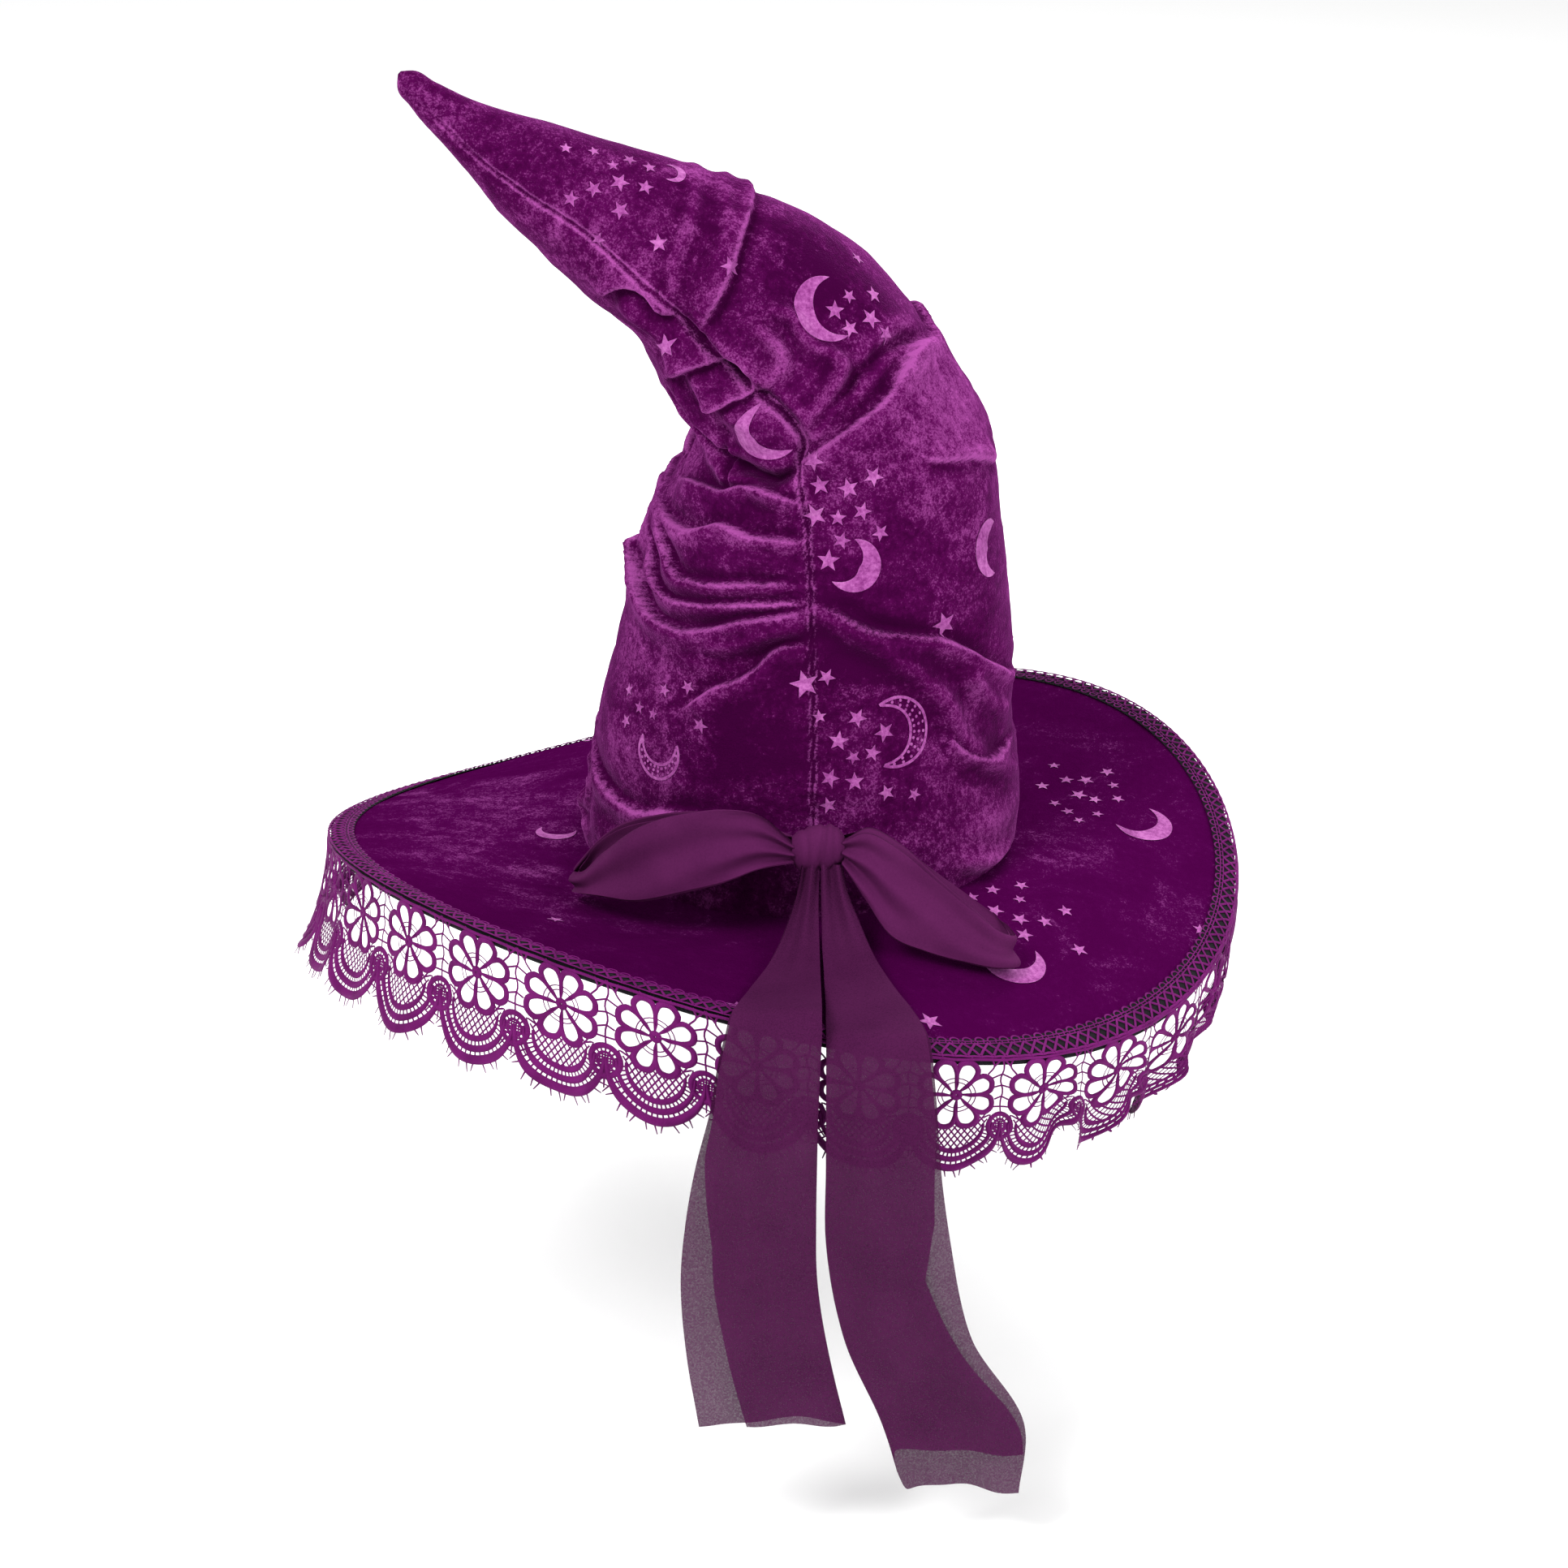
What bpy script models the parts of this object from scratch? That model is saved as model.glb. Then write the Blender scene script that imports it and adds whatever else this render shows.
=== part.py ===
"""Floppy velvet witch hat: leaning cone crown, stuffed hinged tip, wired brim, lace edge and sheer bow.

The frame has +Z up, with the origin at the centre of the head opening, level with the brim.
-Y is the front, where the bow is, and the tip leans towards -X.
"""

import math

import bmesh
import bpy
from mathutils import Vector

# Driving dimensions, in metres.
GAP = 0.0003
SWEATBAND_WALL = 0.0015
LINING_WALL = 0.0008
FOAM_WALL = 0.0034
VELVET_WALL = 0.0014
LINING_INSET = VELVET_WALL + FOAM_WALL + 3 * GAP
SEAM_TAPE_TOP = 0.012
LINING_TOP = 0.110

BRIM_HOLE = 0.0956
BRIM_FLAT = 0.1035
BRIM_RADIUS = 0.2130
BRIM_SHIFT_X = -0.0070
BRIM_BEND = 1.6
# Height of the brim's edge as a wave round the brim: steady, cos, sin, cos 2, sin 2, cos 3, sin 3.
BRIM_WAVE = (-0.0087, -0.0057, -0.0114, 0.0019, 0.0264, -0.0008, 0.0021)
BRIM_VELVET = 0.0012
BRIM_STIFFENER = 0.0020
BRIM_LINING = 0.0010
WIRE_RADIUS = 0.0008
EDGE_BAND = 0.0095
EDGE_STEP = 0.0006
BINDING_WALL = 0.0006
HEADING_WALL = 0.0008
HEADING_LIFT = BINDING_WALL + 3 * GAP
TAIL_LIFT = HEADING_LIFT + HEADING_WALL + 3 * GAP

LACE_WALL = 0.0012
LACE_DROP = 0.0580
# How far out the lace's lower edge hangs: steady, and more on the left than on the right.
LACE_FLARE = 0.0020
LACE_FLARE_SIDE = 0.0140

# The ruched bend is a ball round the tip's hinge, which the tip turns on inside the crown's rim.
HINGE = Vector((0.0160, 0.0, 0.1840))
BALL_RADIUS = 0.0722
RIM_DROP = 0.0180
BALL_BOTTOM = 0.1300

# The crown's lower cone: centre x, height, half width, half depth.
CROWN_RINGS = (
    (0.0000, 0.0003, 0.1020, 0.1020),
    (0.0020, 0.0300, 0.1005, 0.1000),
    (0.0030, 0.0600, 0.0965, 0.0950),
    (0.0065, 0.0950, 0.0910, 0.0895),
    (0.0105, 0.1320, 0.0845, 0.0825),
    (0.0145, 0.1550, 0.0795, 0.0780),
)
# The tip's outer rings on the ball: tilt towards -X in degrees, distance of the ring's plane from the hinge.
BALL_RINGS = ((0.0, -0.0400), (0.0, -0.0180), (2.0, -0.0020), (10.0, 0.0140), (20.0, 0.0285))
# The tip's rings beyond the ball: centre x, height, tilt in degrees, half width, half depth.
TIP_RINGS = (
    (-0.0120, 0.2440, 33.0, 0.0555, 0.0560),
    (-0.0420, 0.2730, 47.0, 0.0440, 0.0450),
    (-0.0660, 0.2860, 50.0, 0.0370, 0.0370),
    (-0.0920, 0.3020, 47.0, 0.0310, 0.0300),
    (-0.1190, 0.3190, 46.0, 0.0225, 0.0220),
    (-0.1440, 0.3340, 48.0, 0.0140, 0.0140),
    (-0.1690, 0.3530, 42.0, 0.0070, 0.0070),
)

BRIM_STEPS = 48
CROWN_STEPS = 32
# Half of each seam's gap, as a share of one step round the cone.
VELVET_SEAM = 0.03
FOAM_SEAM = 0.28

KNOT_CENTRE = Vector((0.0083, -0.1135, 0.0380))
KNOT_HALF = Vector((0.0115, 0.0080, 0.0105))
# Each loop's rings: centre, half height, half thickness. The root is rounded, so that it turns beside the knot.
LOOP_LEFT = (
    ((-0.0040, -0.1150, 0.0390), 0.0012, 0.0012),
    ((-0.0100, -0.1165, 0.0400), 0.0075, 0.0040),
    ((-0.0250, -0.1200, 0.0430), 0.0165, 0.0065),
    ((-0.0500, -0.1195, 0.0385), 0.0200, 0.0085),
    ((-0.0760, -0.1080, 0.0280), 0.0180, 0.0090),
    ((-0.0990, -0.0930, 0.0210), 0.0140, 0.0085),
)
LOOP_RIGHT = (
    ((0.0206, -0.1150, 0.0370), 0.0012, 0.0012),
    ((0.0260, -0.1167, 0.0372), 0.0065, 0.0040),
    ((0.0380, -0.1205, 0.0370), 0.0150, 0.0060),
    ((0.0580, -0.1250, 0.0300), 0.0180, 0.0080),
    ((0.0780, -0.1270, 0.0200), 0.0160, 0.0085),
    ((0.0940, -0.1290, 0.0115), 0.0120, 0.0080),
)
TAIL_WALL = 0.0020
TAIL_HINGE_Y = -0.2175
# Each tail on the brim: y, then its left and right edge.
LEFT_ROOT = ((-0.1255, -0.0020, 0.0075), (-0.1600, -0.0130, 0.0088), (-0.1900, -0.0220, 0.0093),
             (-0.2170, -0.0290, 0.0093))
RIGHT_ROOT = ((-0.1255, 0.0092, 0.0200), (-0.1600, 0.0105, 0.0360), (-0.1900, 0.0112, 0.0480),
              (-0.2170, 0.0112, 0.0550))
# Each hanging tail: height, distance beyond the hinge line, then its left and right edge.
LEFT_FALL = (
    (0.0000, 0.0003, -0.0290, 0.0093),
    (-0.0060, 0.0060, -0.0310, 0.0093),
    (-0.0300, 0.0125, -0.0380, 0.0080),
    (-0.0540, 0.0150, -0.0440, 0.0075),
    (-0.1060, 0.0155, -0.0510, 0.0075),
    (-0.1480, 0.0155, -0.0490, 0.0130),
    (-0.1830, 0.0155, -0.0440, 0.0205),
)
RIGHT_FALL = (
    (0.0000, 0.0003, 0.0112, 0.0550),
    (-0.0060, 0.0060, 0.0112, 0.0560),
    (-0.0300, 0.0125, 0.0112, 0.0585),
    (-0.0540, 0.0150, 0.0112, 0.0600),
    (-0.0900, 0.0155, 0.0112, 0.0645),
    (-0.1400, 0.0155, 0.0195, 0.0750),
    (-0.1850, 0.0155, 0.0370, 0.0990),
    (-0.2200, 0.0155, 0.0460, 0.0970),
)

PLUM_VELVET = (0.110, 0.010, 0.120)
BLACK_CLOTH = (0.012, 0.010, 0.014)
PALE_FOAM = (0.600, 0.580, 0.520)
LACE_PURPLE = (0.240, 0.020, 0.250)
SHEER_PLUM = (0.100, 0.018, 0.110)
STEEL_GREY = (0.450, 0.450, 0.460)


def clear_scene():
    for item in list(bpy.data.objects):
        bpy.data.objects.remove(item, do_unlink=True)


def principled(name, colour, roughness, metallic=0.0):
    material = bpy.data.materials.new(name)
    material.use_nodes = True
    shader = material.node_tree.nodes["Principled BSDF"]
    shader.inputs["Base Color"].default_value = (*colour, 1.0)
    shader.inputs["Roughness"].default_value = roughness
    shader.inputs["Metallic"].default_value = metallic
    return material


def add_mesh(name, mesh_builder, material, collection):
    """Makes one object from a bmesh, with its normals outward and its faces smooth.

    Layers that lie on each other split their warped four-sided faces along the same, shorter diagonals.
    """
    bmesh.ops.recalc_face_normals(mesh_builder, faces=mesh_builder.faces)
    bmesh.ops.triangulate(mesh_builder, faces=mesh_builder.faces, quad_method="SHORT_EDGE")
    mesh = bpy.data.meshes.new(name)
    mesh_builder.to_mesh(mesh)
    mesh_builder.free()
    mesh.materials.append(material)
    mesh.shade_smooth()
    mesh.set_sharp_from_angle(angle=math.radians(40.0))
    item = bpy.data.objects.new(name, mesh)
    collection.objects.link(item)
    return item


def share_out(x, y):
    """How far out on the brim a point is: 0 under the crown and 1 at the edge."""
    return max(0.0, (math.hypot(x, y) - BRIM_FLAT) / (BRIM_RADIUS - BRIM_FLAT))


def brim_height(x, y):
    """Height of the brim's top surface above the head opening, at a point that is not yet shifted."""
    angle = math.atan2(y, x)
    steady, *waves = BRIM_WAVE
    edge = steady
    for order in (1, 2, 3):
        edge += waves[2 * order - 2] * math.cos(order * angle)
        edge += waves[2 * order - 1] * math.sin(order * angle)
    return edge * share_out(x, y) ** BRIM_BEND


def lay_on_brim(x, y, z):
    """Moves a point of the flat brim to its place on the waved brim."""
    return Vector((x + BRIM_SHIFT_X * share_out(x, y), y, z + brim_height(x, y)))


def hang_from_edge(x, y, z):
    """Moves a point of a straight skirt to its place under the waved edge, leaning out or in."""
    edge = lay_on_brim(x, y, z)
    radius = math.hypot(x, y)
    lean = (LACE_FLARE - LACE_FLARE_SIDE * x / radius) * (z / LACE_DROP) ** 2
    return edge + Vector((x, y, 0.0)) * (lean / radius)


def spun_ring(name, section, steps, material, collection, place=None):
    """Turns a closed section of (radius, height) points round the Z axis, then bends it with place."""
    build = bmesh.new()
    corners = [build.verts.new((radius, 0.0, height)) for radius, height in section]
    edges = [build.edges.new((corners[i - 1], corners[i])) for i in range(len(corners))]
    bmesh.ops.spin(build, geom=corners + edges, axis=(0.0, 0.0, 1.0), cent=(0.0, 0.0, 0.0),
                   angle=math.tau, steps=steps, use_merge=True)
    if place:
        for corner in build.verts:
            corner.co = place(*corner.co)
    return add_mesh(name, build, material, collection)


def slab_section(radii, top, thickness):
    """Section of a flat ring: its top from the inside out, then its underside back."""
    return [(radius, top) for radius in radii] + [(radius, top - thickness) for radius in reversed(radii)]


def spread(first, last, count):
    return [first + (last - first) * step / (count - 1) for step in range(count)]


def ring_points(ring, inset, angles):
    """Points of one elliptical ring, given as centre, tilt in radians, half width and half depth."""
    centre, tilt, half_width, half_depth = ring
    across = Vector((math.cos(tilt), 0.0, math.sin(tilt)))
    depth = Vector((0.0, 1.0, 0.0))
    return [
        centre + across * ((half_width - inset) * math.cos(angle)) + depth * ((half_depth - inset) * math.sin(angle))
        for angle in angles
    ]


def bridge_rows(build, lower, upper, closed):
    count = len(lower)
    for i in range(count if closed else count - 1):
        following = (i + 1) % count
        build.faces.new((lower[i], lower[following], upper[following], upper[i]))


def panel_points(ring, inset, side, seam):
    """Half of a ring, on the side +1 (right) or -1 (left), with its ends drawn back from the seams."""
    quarter = math.pi / 2
    points = ring_points(ring, inset, spread(-side * quarter, -side * quarter + math.pi, CROWN_STEPS // 2 + 1))
    first = points[0].lerp(points[1], seam)
    last = points[-1].lerp(points[-2], seam)
    return [first, *points[1:-1], last]


def cone_panel(name, rings, inset, wall, side, seam, material, collection):
    """A cloth panel of a cone, from its front seam to its back seam, lofted through unlike rings."""
    build = bmesh.new()
    rows = []
    for ring in rings:
        outer = [build.verts.new(point) for point in panel_points(ring, inset, side, seam)]
        inner = [build.verts.new(point) for point in panel_points(ring, inset + wall, side, seam)]
        rows.append(outer + inner[::-1])
    for lower, upper in zip(rows, rows[1:]):
        bridge_rows(build, lower, upper, True)
    half = len(rows[0]) // 2
    for row in (rows[0], rows[-1]):
        for i in range(half - 1):
            build.faces.new((row[i], row[i + 1], row[-i - 2], row[-i - 1]))
    return add_mesh(name, build, material, collection)


def solid_loft(name, rings, inset, material, collection, steps=CROWN_STEPS):
    """A closed body lofted through unlike rings, with a flat cap at each end."""
    angles = [math.tau * i / steps for i in range(steps)]
    build = bmesh.new()
    rows = [[build.verts.new(point) for point in ring_points(ring, inset, angles)] for ring in rings]
    for lower, upper in zip(rows, rows[1:]):
        bridge_rows(build, lower, upper, True)
    build.faces.new(rows[0])
    build.faces.new(rows[-1])
    return add_mesh(name, build, material, collection)


def crown_rings():
    """The lower cone's rings, ending in the rim that holds the ball."""
    rings = [(Vector((x, 0.0, z)), 0.0, width, depth) for x, z, width, depth in CROWN_RINGS]
    inside = math.sqrt(BALL_RADIUS**2 - RIM_DROP**2) + 3 * GAP
    rim = inside + GAP + FOAM_WALL + VELVET_WALL
    rings.append((HINGE - Vector((0.0, 0.0, RIM_DROP)), 0.0, rim, rim))
    return rings


def ball_ring(tilt_degrees, distance):
    """A ring on the ball, cut by a plane that leans towards -X."""
    tilt = math.radians(tilt_degrees)
    normal = Vector((-math.sin(tilt), 0.0, math.cos(tilt)))
    radius = math.sqrt(BALL_RADIUS**2 - distance**2)
    return HINGE + normal * distance, tilt, radius, radius


def tip_rings():
    bottom = BALL_BOTTOM - HINGE.z
    rings = [ball_ring(0.0, bottom)]
    rings += [ball_ring(tilt, distance) for tilt, distance in BALL_RINGS]
    for x, z, tilt, width, depth in TIP_RINGS:
        rings.append((Vector((x, 0.0, z)), math.radians(tilt), width, depth))
    return rings


def build_crown(collection, velvet, foam, cloth):
    rings = crown_rings()
    for name, side in (("right", 1), ("left", -1)):
        cone_panel(f"crown_velvet_{name}", rings, 0.0, VELVET_WALL, side, VELVET_SEAM, velvet, collection)
        cone_panel(f"crown_foam_{name}", rings, VELVET_WALL + GAP, FOAM_WALL, side, FOAM_SEAM, foam, collection)
    build_lining(collection, cloth)
    build_seam_elastic(collection, cloth)


def ring_between(lower, upper, height):
    """The ring of the crown's cone at a height between two of its rings."""
    share = (height - lower[1]) / (upper[1] - lower[1])
    x, z, width, depth = (a + (b - a) * share for a, b in zip(lower, upper))
    return Vector((x, 0.0, z)), 0.0, width, depth


def band_ring(height):
    """The ring of the crown's lowest stretch at a height; it runs straight down through the brim."""
    foot = max(height, CROWN_RINGS[0][1])
    _, tilt, width, depth = ring_between(CROWN_RINGS[0], CROWN_RINGS[1], foot)
    centre = Vector((CROWN_RINGS[1][0] * foot / CROWN_RINGS[1][1], 0.0, height))
    return centre, tilt, width, depth


def cone_band(name, heights, inset, wall, material, collection):
    """An upright band inside the crown's lowest stretch, open at its top and bottom."""
    angles = [math.tau * i / CROWN_STEPS for i in range(CROWN_STEPS)]
    build = bmesh.new()
    outer = [[build.verts.new(point) for point in ring_points(band_ring(height), inset, angles)]
             for height in heights]
    inner = [[build.verts.new(point) for point in ring_points(band_ring(height), inset + wall, angles)]
             for height in heights]
    rows = outer + inner[::-1]
    for row, following in zip(rows, rows[1:] + rows[:1]):
        bridge_rows(build, row, following, True)
    return add_mesh(name, build, material, collection)


def build_lining(collection, cloth):
    """A cap of lining cloth that closes the head space below the stuffing."""
    angles = [math.tau * i / CROWN_STEPS for i in range(CROWN_STEPS)]
    outer_rings = [ring_between(CROWN_RINGS[0], CROWN_RINGS[1], SEAM_TAPE_TOP + GAP)]
    outer_rings += [(Vector((x, 0.0, z)), 0.0, w, d) for x, z, w, d in CROWN_RINGS[1:4]]
    outer_rings.append(ring_between(CROWN_RINGS[3], CROWN_RINGS[4], LINING_TOP))
    build = bmesh.new()
    shells = []
    for depth, drop in ((LINING_INSET, 0.0), (LINING_INSET + LINING_WALL, LINING_WALL)):
        rows = []
        for ring in outer_rings:
            points = ring_points(ring, depth, angles)
            if ring is outer_rings[-1]:
                points = [point - Vector((0.0, 0.0, drop)) for point in points]
            rows.append([build.verts.new(point) for point in points])
        for lower, upper in zip(rows, rows[1:]):
            bridge_rows(build, lower, upper, True)
        build.faces.new(rows[-1])
        shells.append(rows[0])
    bridge_rows(build, shells[0], shells[1], True)
    return add_mesh("crown_lining", build, cloth, collection)


def build_seam_elastic(collection, cloth):
    """A flat elastic sewn behind the front seam, in the slot between the foam halves, which ruches the velvet."""
    width = 0.0030
    start = VELVET_WALL + 2 * GAP
    build = bmesh.new()
    rows = []
    for x, z, _, half_depth in CROWN_RINGS[2:]:
        outer = -(half_depth - start) + GAP
        inner = outer + FOAM_WALL / 2
        rows.append([build.verts.new(corner) for corner in (
            (x - width, outer, z), (x + width, outer, z), (x + width, inner, z), (x - width, inner, z))])
    for lower, upper in zip(rows, rows[1:]):
        bridge_rows(build, lower, upper, True)
    build.faces.new(rows[0])
    build.faces.new(rows[-1])
    return add_mesh("front_seam_elastic", build, cloth, collection)


def build_head_fitting(collection, ribbon, cloth):
    """The tape over the crown-to-brim seam, and the sweatband that passes down through the brim."""
    cone_band("crown_seam_tape", (GAP, SEAM_TAPE_TOP), LINING_INSET, LINING_WALL, cloth, collection)
    low = -(BRIM_VELVET + BRIM_STIFFENER + BRIM_LINING + 2 * GAP)
    inset = LINING_INSET + LINING_WALL + GAP
    cone_band("sweatband", (low, GAP, CROWN_RINGS[1][1]), inset, SWEATBAND_WALL, ribbon, collection)


def build_tip(collection, velvet, foam):
    rings = tip_rings()
    for name, side in (("over", 1), ("under", -1)):
        cone_panel(f"tip_velvet_{name}", rings, 0.0, VELVET_WALL, side, VELVET_SEAM, velvet, collection)
    solid_loft("tip_stuffing", rings, VELVET_WALL + GAP, foam, collection)


def build_brim(collection, velvet, stiff, cloth, wire):
    edge = BRIM_RADIUS
    cover_radii = [BRIM_HOLE] + spread(BRIM_FLAT, edge - EDGE_BAND, 4) + [edge - EDGE_STEP]
    spun_ring("brim_top_velvet", slab_section(cover_radii, 0.0, BRIM_VELVET),
              BRIM_STEPS, velvet, collection, lay_on_brim)
    top = -BRIM_VELVET - GAP
    stiff_edge = edge - EDGE_BAND + 0.0040
    stiff_radii = cover_radii[:-1] + [stiff_edge]
    spun_ring("brim_stiffener", slab_section(stiff_radii, top, BRIM_STIFFENER),
              BRIM_STEPS, stiff, collection, lay_on_brim)
    wire_out = stiff_edge + 3 * GAP + WIRE_RADIUS
    wire_height = top - BRIM_STIFFENER / 2
    circle = [(wire_out + WIRE_RADIUS * math.cos(math.tau * i / 6), wire_height + WIRE_RADIUS * math.sin(math.tau * i / 6))
              for i in range(6)]
    spun_ring("brim_edge_wire", circle, BRIM_STEPS, wire, collection, lay_on_brim)
    under = top - BRIM_STIFFENER - GAP
    spun_ring("brim_under_cover", slab_section(cover_radii, under, BRIM_LINING),
              BRIM_STEPS, cloth, collection, lay_on_brim)
    wall = BINDING_WALL
    inside = edge - EDGE_STEP + GAP
    upper = GAP
    lower = under - BRIM_LINING - GAP
    band = [(edge - EDGE_BAND, upper), (inside, upper), (inside, lower), (edge - EDGE_BAND, lower),
            (edge - EDGE_BAND, lower - wall), (inside + wall, lower - wall), (inside + wall, upper + wall),
            (edge - EDGE_BAND, upper + wall)]
    spun_ring("brim_edge_binding", band, BRIM_STEPS, cloth, collection, lay_on_brim)


def build_lace(collection, lace):
    edge = BRIM_RADIUS + 0.0003
    low = HEADING_LIFT
    high = low + HEADING_WALL
    heading = [(BRIM_RADIUS - EDGE_BAND, low), (edge + 0.0006, low), (edge + 0.0006, high),
               (BRIM_RADIUS - EDGE_BAND, high)]
    spun_ring("lace_heading_braid", heading, BRIM_STEPS, lace, collection, lay_on_brim)
    start = edge + 0.0009
    heights = spread(0.0, -LACE_DROP, 4)
    inner = [(start, height) for height in heights]
    outer = [(start + LACE_WALL, height) for height in heights]
    spun_ring("lace_skirt", inner + outer[::-1], BRIM_STEPS, lace, collection, hang_from_edge)


def pillow(name, rings, material, collection, steps=12):
    """A soft loop: rings standing across the way it runs, lofted into one closed body."""
    build = bmesh.new()
    rows = []
    for i, (centre, half_height, half_thickness) in enumerate(rings):
        before = Vector(rings[max(0, i - 1)][0])
        after = Vector(rings[min(len(rings) - 1, i + 1)][0])
        along = (after - before).normalized()
        side = along.cross(Vector((0.0, 0.0, 1.0))).normalized()
        up = side.cross(along)
        row = []
        for step in range(steps):
            angle = math.tau * step / steps
            offset = side * (half_thickness * math.cos(angle)) + up * (half_height * math.sin(angle))
            row.append(build.verts.new(Vector(centre) + offset))
        rows.append(row)
    for lower, upper in zip(rows, rows[1:]):
        bridge_rows(build, lower, upper, True)
    build.faces.new(rows[0])
    build.faces.new(rows[-1])
    return add_mesh(name, build, material, collection)


def build_knot(collection, chiffon):
    """The knot is a rounded block, pinched in slightly round its middle."""
    build = bmesh.new()
    bmesh.ops.create_uvsphere(build, u_segments=16, v_segments=10, radius=1.0)
    for corner in build.verts:
        unit = corner.co.normalized()
        boxy = Vector([math.copysign(abs(value) ** 0.7, value) for value in unit])
        corner.co = KNOT_CENTRE + Vector([boxy[i] * KNOT_HALF[i] for i in range(3)])
    add_mesh("bow_knot", build, chiffon, collection)


def strip_solid(name, rows_of_points, material, collection):
    """A thin strip from rows of four corners: two on its outer side, two on its inner side."""
    build = bmesh.new()
    rows = [[build.verts.new(point) for point in row] for row in rows_of_points]
    for lower, upper in zip(rows, rows[1:]):
        bridge_rows(build, lower, upper, True)
    build.faces.new(rows[0])
    build.faces.new(rows[-1])
    return add_mesh(name, build, material, collection)


def root_rows(stations):
    """Rows of a tail that lies on the brim, over the lace heading, and rises to the knot."""
    rows = []
    for y, left, right in stations:
        rise = 0.0180 if y == stations[0][0] else 0.0
        low = [lay_on_brim(x, y, TAIL_LIFT + rise) for x in (left, right)]
        high = [point + Vector((0.0, 0.0, TAIL_WALL)) for point in low]
        rows.append((low[0], low[1], high[1], high[0]))
    return rows


def hinge_height(x):
    """Height of a tail's fold over the brim's edge, a little above its stretch on the brim."""
    return lay_on_brim(x, -BRIM_RADIUS, TAIL_LIFT).z + TAIL_WALL + 0.0010


def fall_rows(stations):
    top = hinge_height((stations[0][2] + stations[0][3]) / 2)
    rows = []
    for height, beyond, left, right in stations:
        outer = TAIL_HINGE_Y - GAP - beyond - TAIL_WALL
        inner = TAIL_HINGE_Y - GAP - beyond
        level = top + height if height > -0.01 else height
        rows.append([(left, inner, level), (right, inner, level), (right, outer, level), (left, outer, level)])
    return rows


def build_bow(collection, chiffon):
    build_knot(collection, chiffon)
    pillow("bow_loop_left", LOOP_LEFT, chiffon, collection)
    pillow("bow_loop_right", LOOP_RIGHT, chiffon, collection)
    for side, root, fall in (("left", LEFT_ROOT, LEFT_FALL), ("right", RIGHT_ROOT, RIGHT_FALL)):
        strip_solid(f"tail_{side}_on_brim", root_rows(root), chiffon, collection)
        strip_solid(f"tail_{side}_hanging", fall_rows(fall), chiffon, collection)


def main():
    clear_scene()
    parts = bpy.data.collections.new("witch_hat")
    bpy.context.scene.collection.children.link(parts)
    velvet = principled("plum_velvet", PLUM_VELVET, 0.85)
    foam = principled("pale_foam", PALE_FOAM, 0.9)
    cloth = principled("black_cloth", BLACK_CLOTH, 0.9)
    lace = principled("purple_lace", LACE_PURPLE, 0.8)
    chiffon = principled("sheer_plum", SHEER_PLUM, 0.6)
    wire = principled("steel_wire", STEEL_GREY, 0.4, 1.0)
    build_crown(parts, velvet, foam, cloth)
    build_head_fitting(parts, cloth, cloth)
    build_tip(parts, velvet, foam)
    build_brim(parts, velvet, foam, cloth, wire)
    build_lace(parts, lace)
    build_bow(parts, chiffon)


main()
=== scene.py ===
"""Looks of the floppy velvet witch hat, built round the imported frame.

Metres, +Z up. The origin is the centre of the head opening; -Y is the front, where the bow is.
"""

import math

import bpy
import numpy as np
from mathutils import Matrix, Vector, kdtree, noise


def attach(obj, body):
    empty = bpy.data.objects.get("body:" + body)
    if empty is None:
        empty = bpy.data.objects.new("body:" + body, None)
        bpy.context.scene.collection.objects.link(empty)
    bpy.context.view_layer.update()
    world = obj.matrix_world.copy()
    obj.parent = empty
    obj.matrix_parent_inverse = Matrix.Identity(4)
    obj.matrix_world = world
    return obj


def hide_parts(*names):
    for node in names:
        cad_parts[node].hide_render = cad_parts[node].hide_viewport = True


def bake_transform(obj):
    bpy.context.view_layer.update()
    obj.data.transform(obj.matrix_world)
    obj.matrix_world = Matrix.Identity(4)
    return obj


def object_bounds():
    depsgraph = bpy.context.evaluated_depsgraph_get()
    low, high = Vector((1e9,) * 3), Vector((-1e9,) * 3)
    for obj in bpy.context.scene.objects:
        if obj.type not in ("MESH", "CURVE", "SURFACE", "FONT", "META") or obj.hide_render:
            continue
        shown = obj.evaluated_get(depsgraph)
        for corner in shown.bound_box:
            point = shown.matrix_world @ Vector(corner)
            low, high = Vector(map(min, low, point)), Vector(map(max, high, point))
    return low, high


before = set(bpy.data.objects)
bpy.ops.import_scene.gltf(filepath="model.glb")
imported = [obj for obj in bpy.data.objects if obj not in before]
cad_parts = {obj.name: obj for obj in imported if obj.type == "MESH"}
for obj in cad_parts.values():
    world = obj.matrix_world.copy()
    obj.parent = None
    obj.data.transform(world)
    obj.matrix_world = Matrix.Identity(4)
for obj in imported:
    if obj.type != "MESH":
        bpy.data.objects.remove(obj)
cad_low, cad_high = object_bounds()

# ---------------------------------------------------------------- driving dimensions

BRIM_HOLE = 0.0956
BRIM_FLAT = 0.1035
BRIM_RADIUS = 0.2130
BRIM_SHIFT_X = -0.0070
BRIM_BEND = 1.6
# Height of the brim's edge as a wave round the brim: steady, cos, sin, cos 2, sin 2, cos 3, sin 3.
BRIM_WAVE = (-0.0087, -0.0057, -0.0114, 0.0019, 0.0264, -0.0008, 0.0021)

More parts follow.
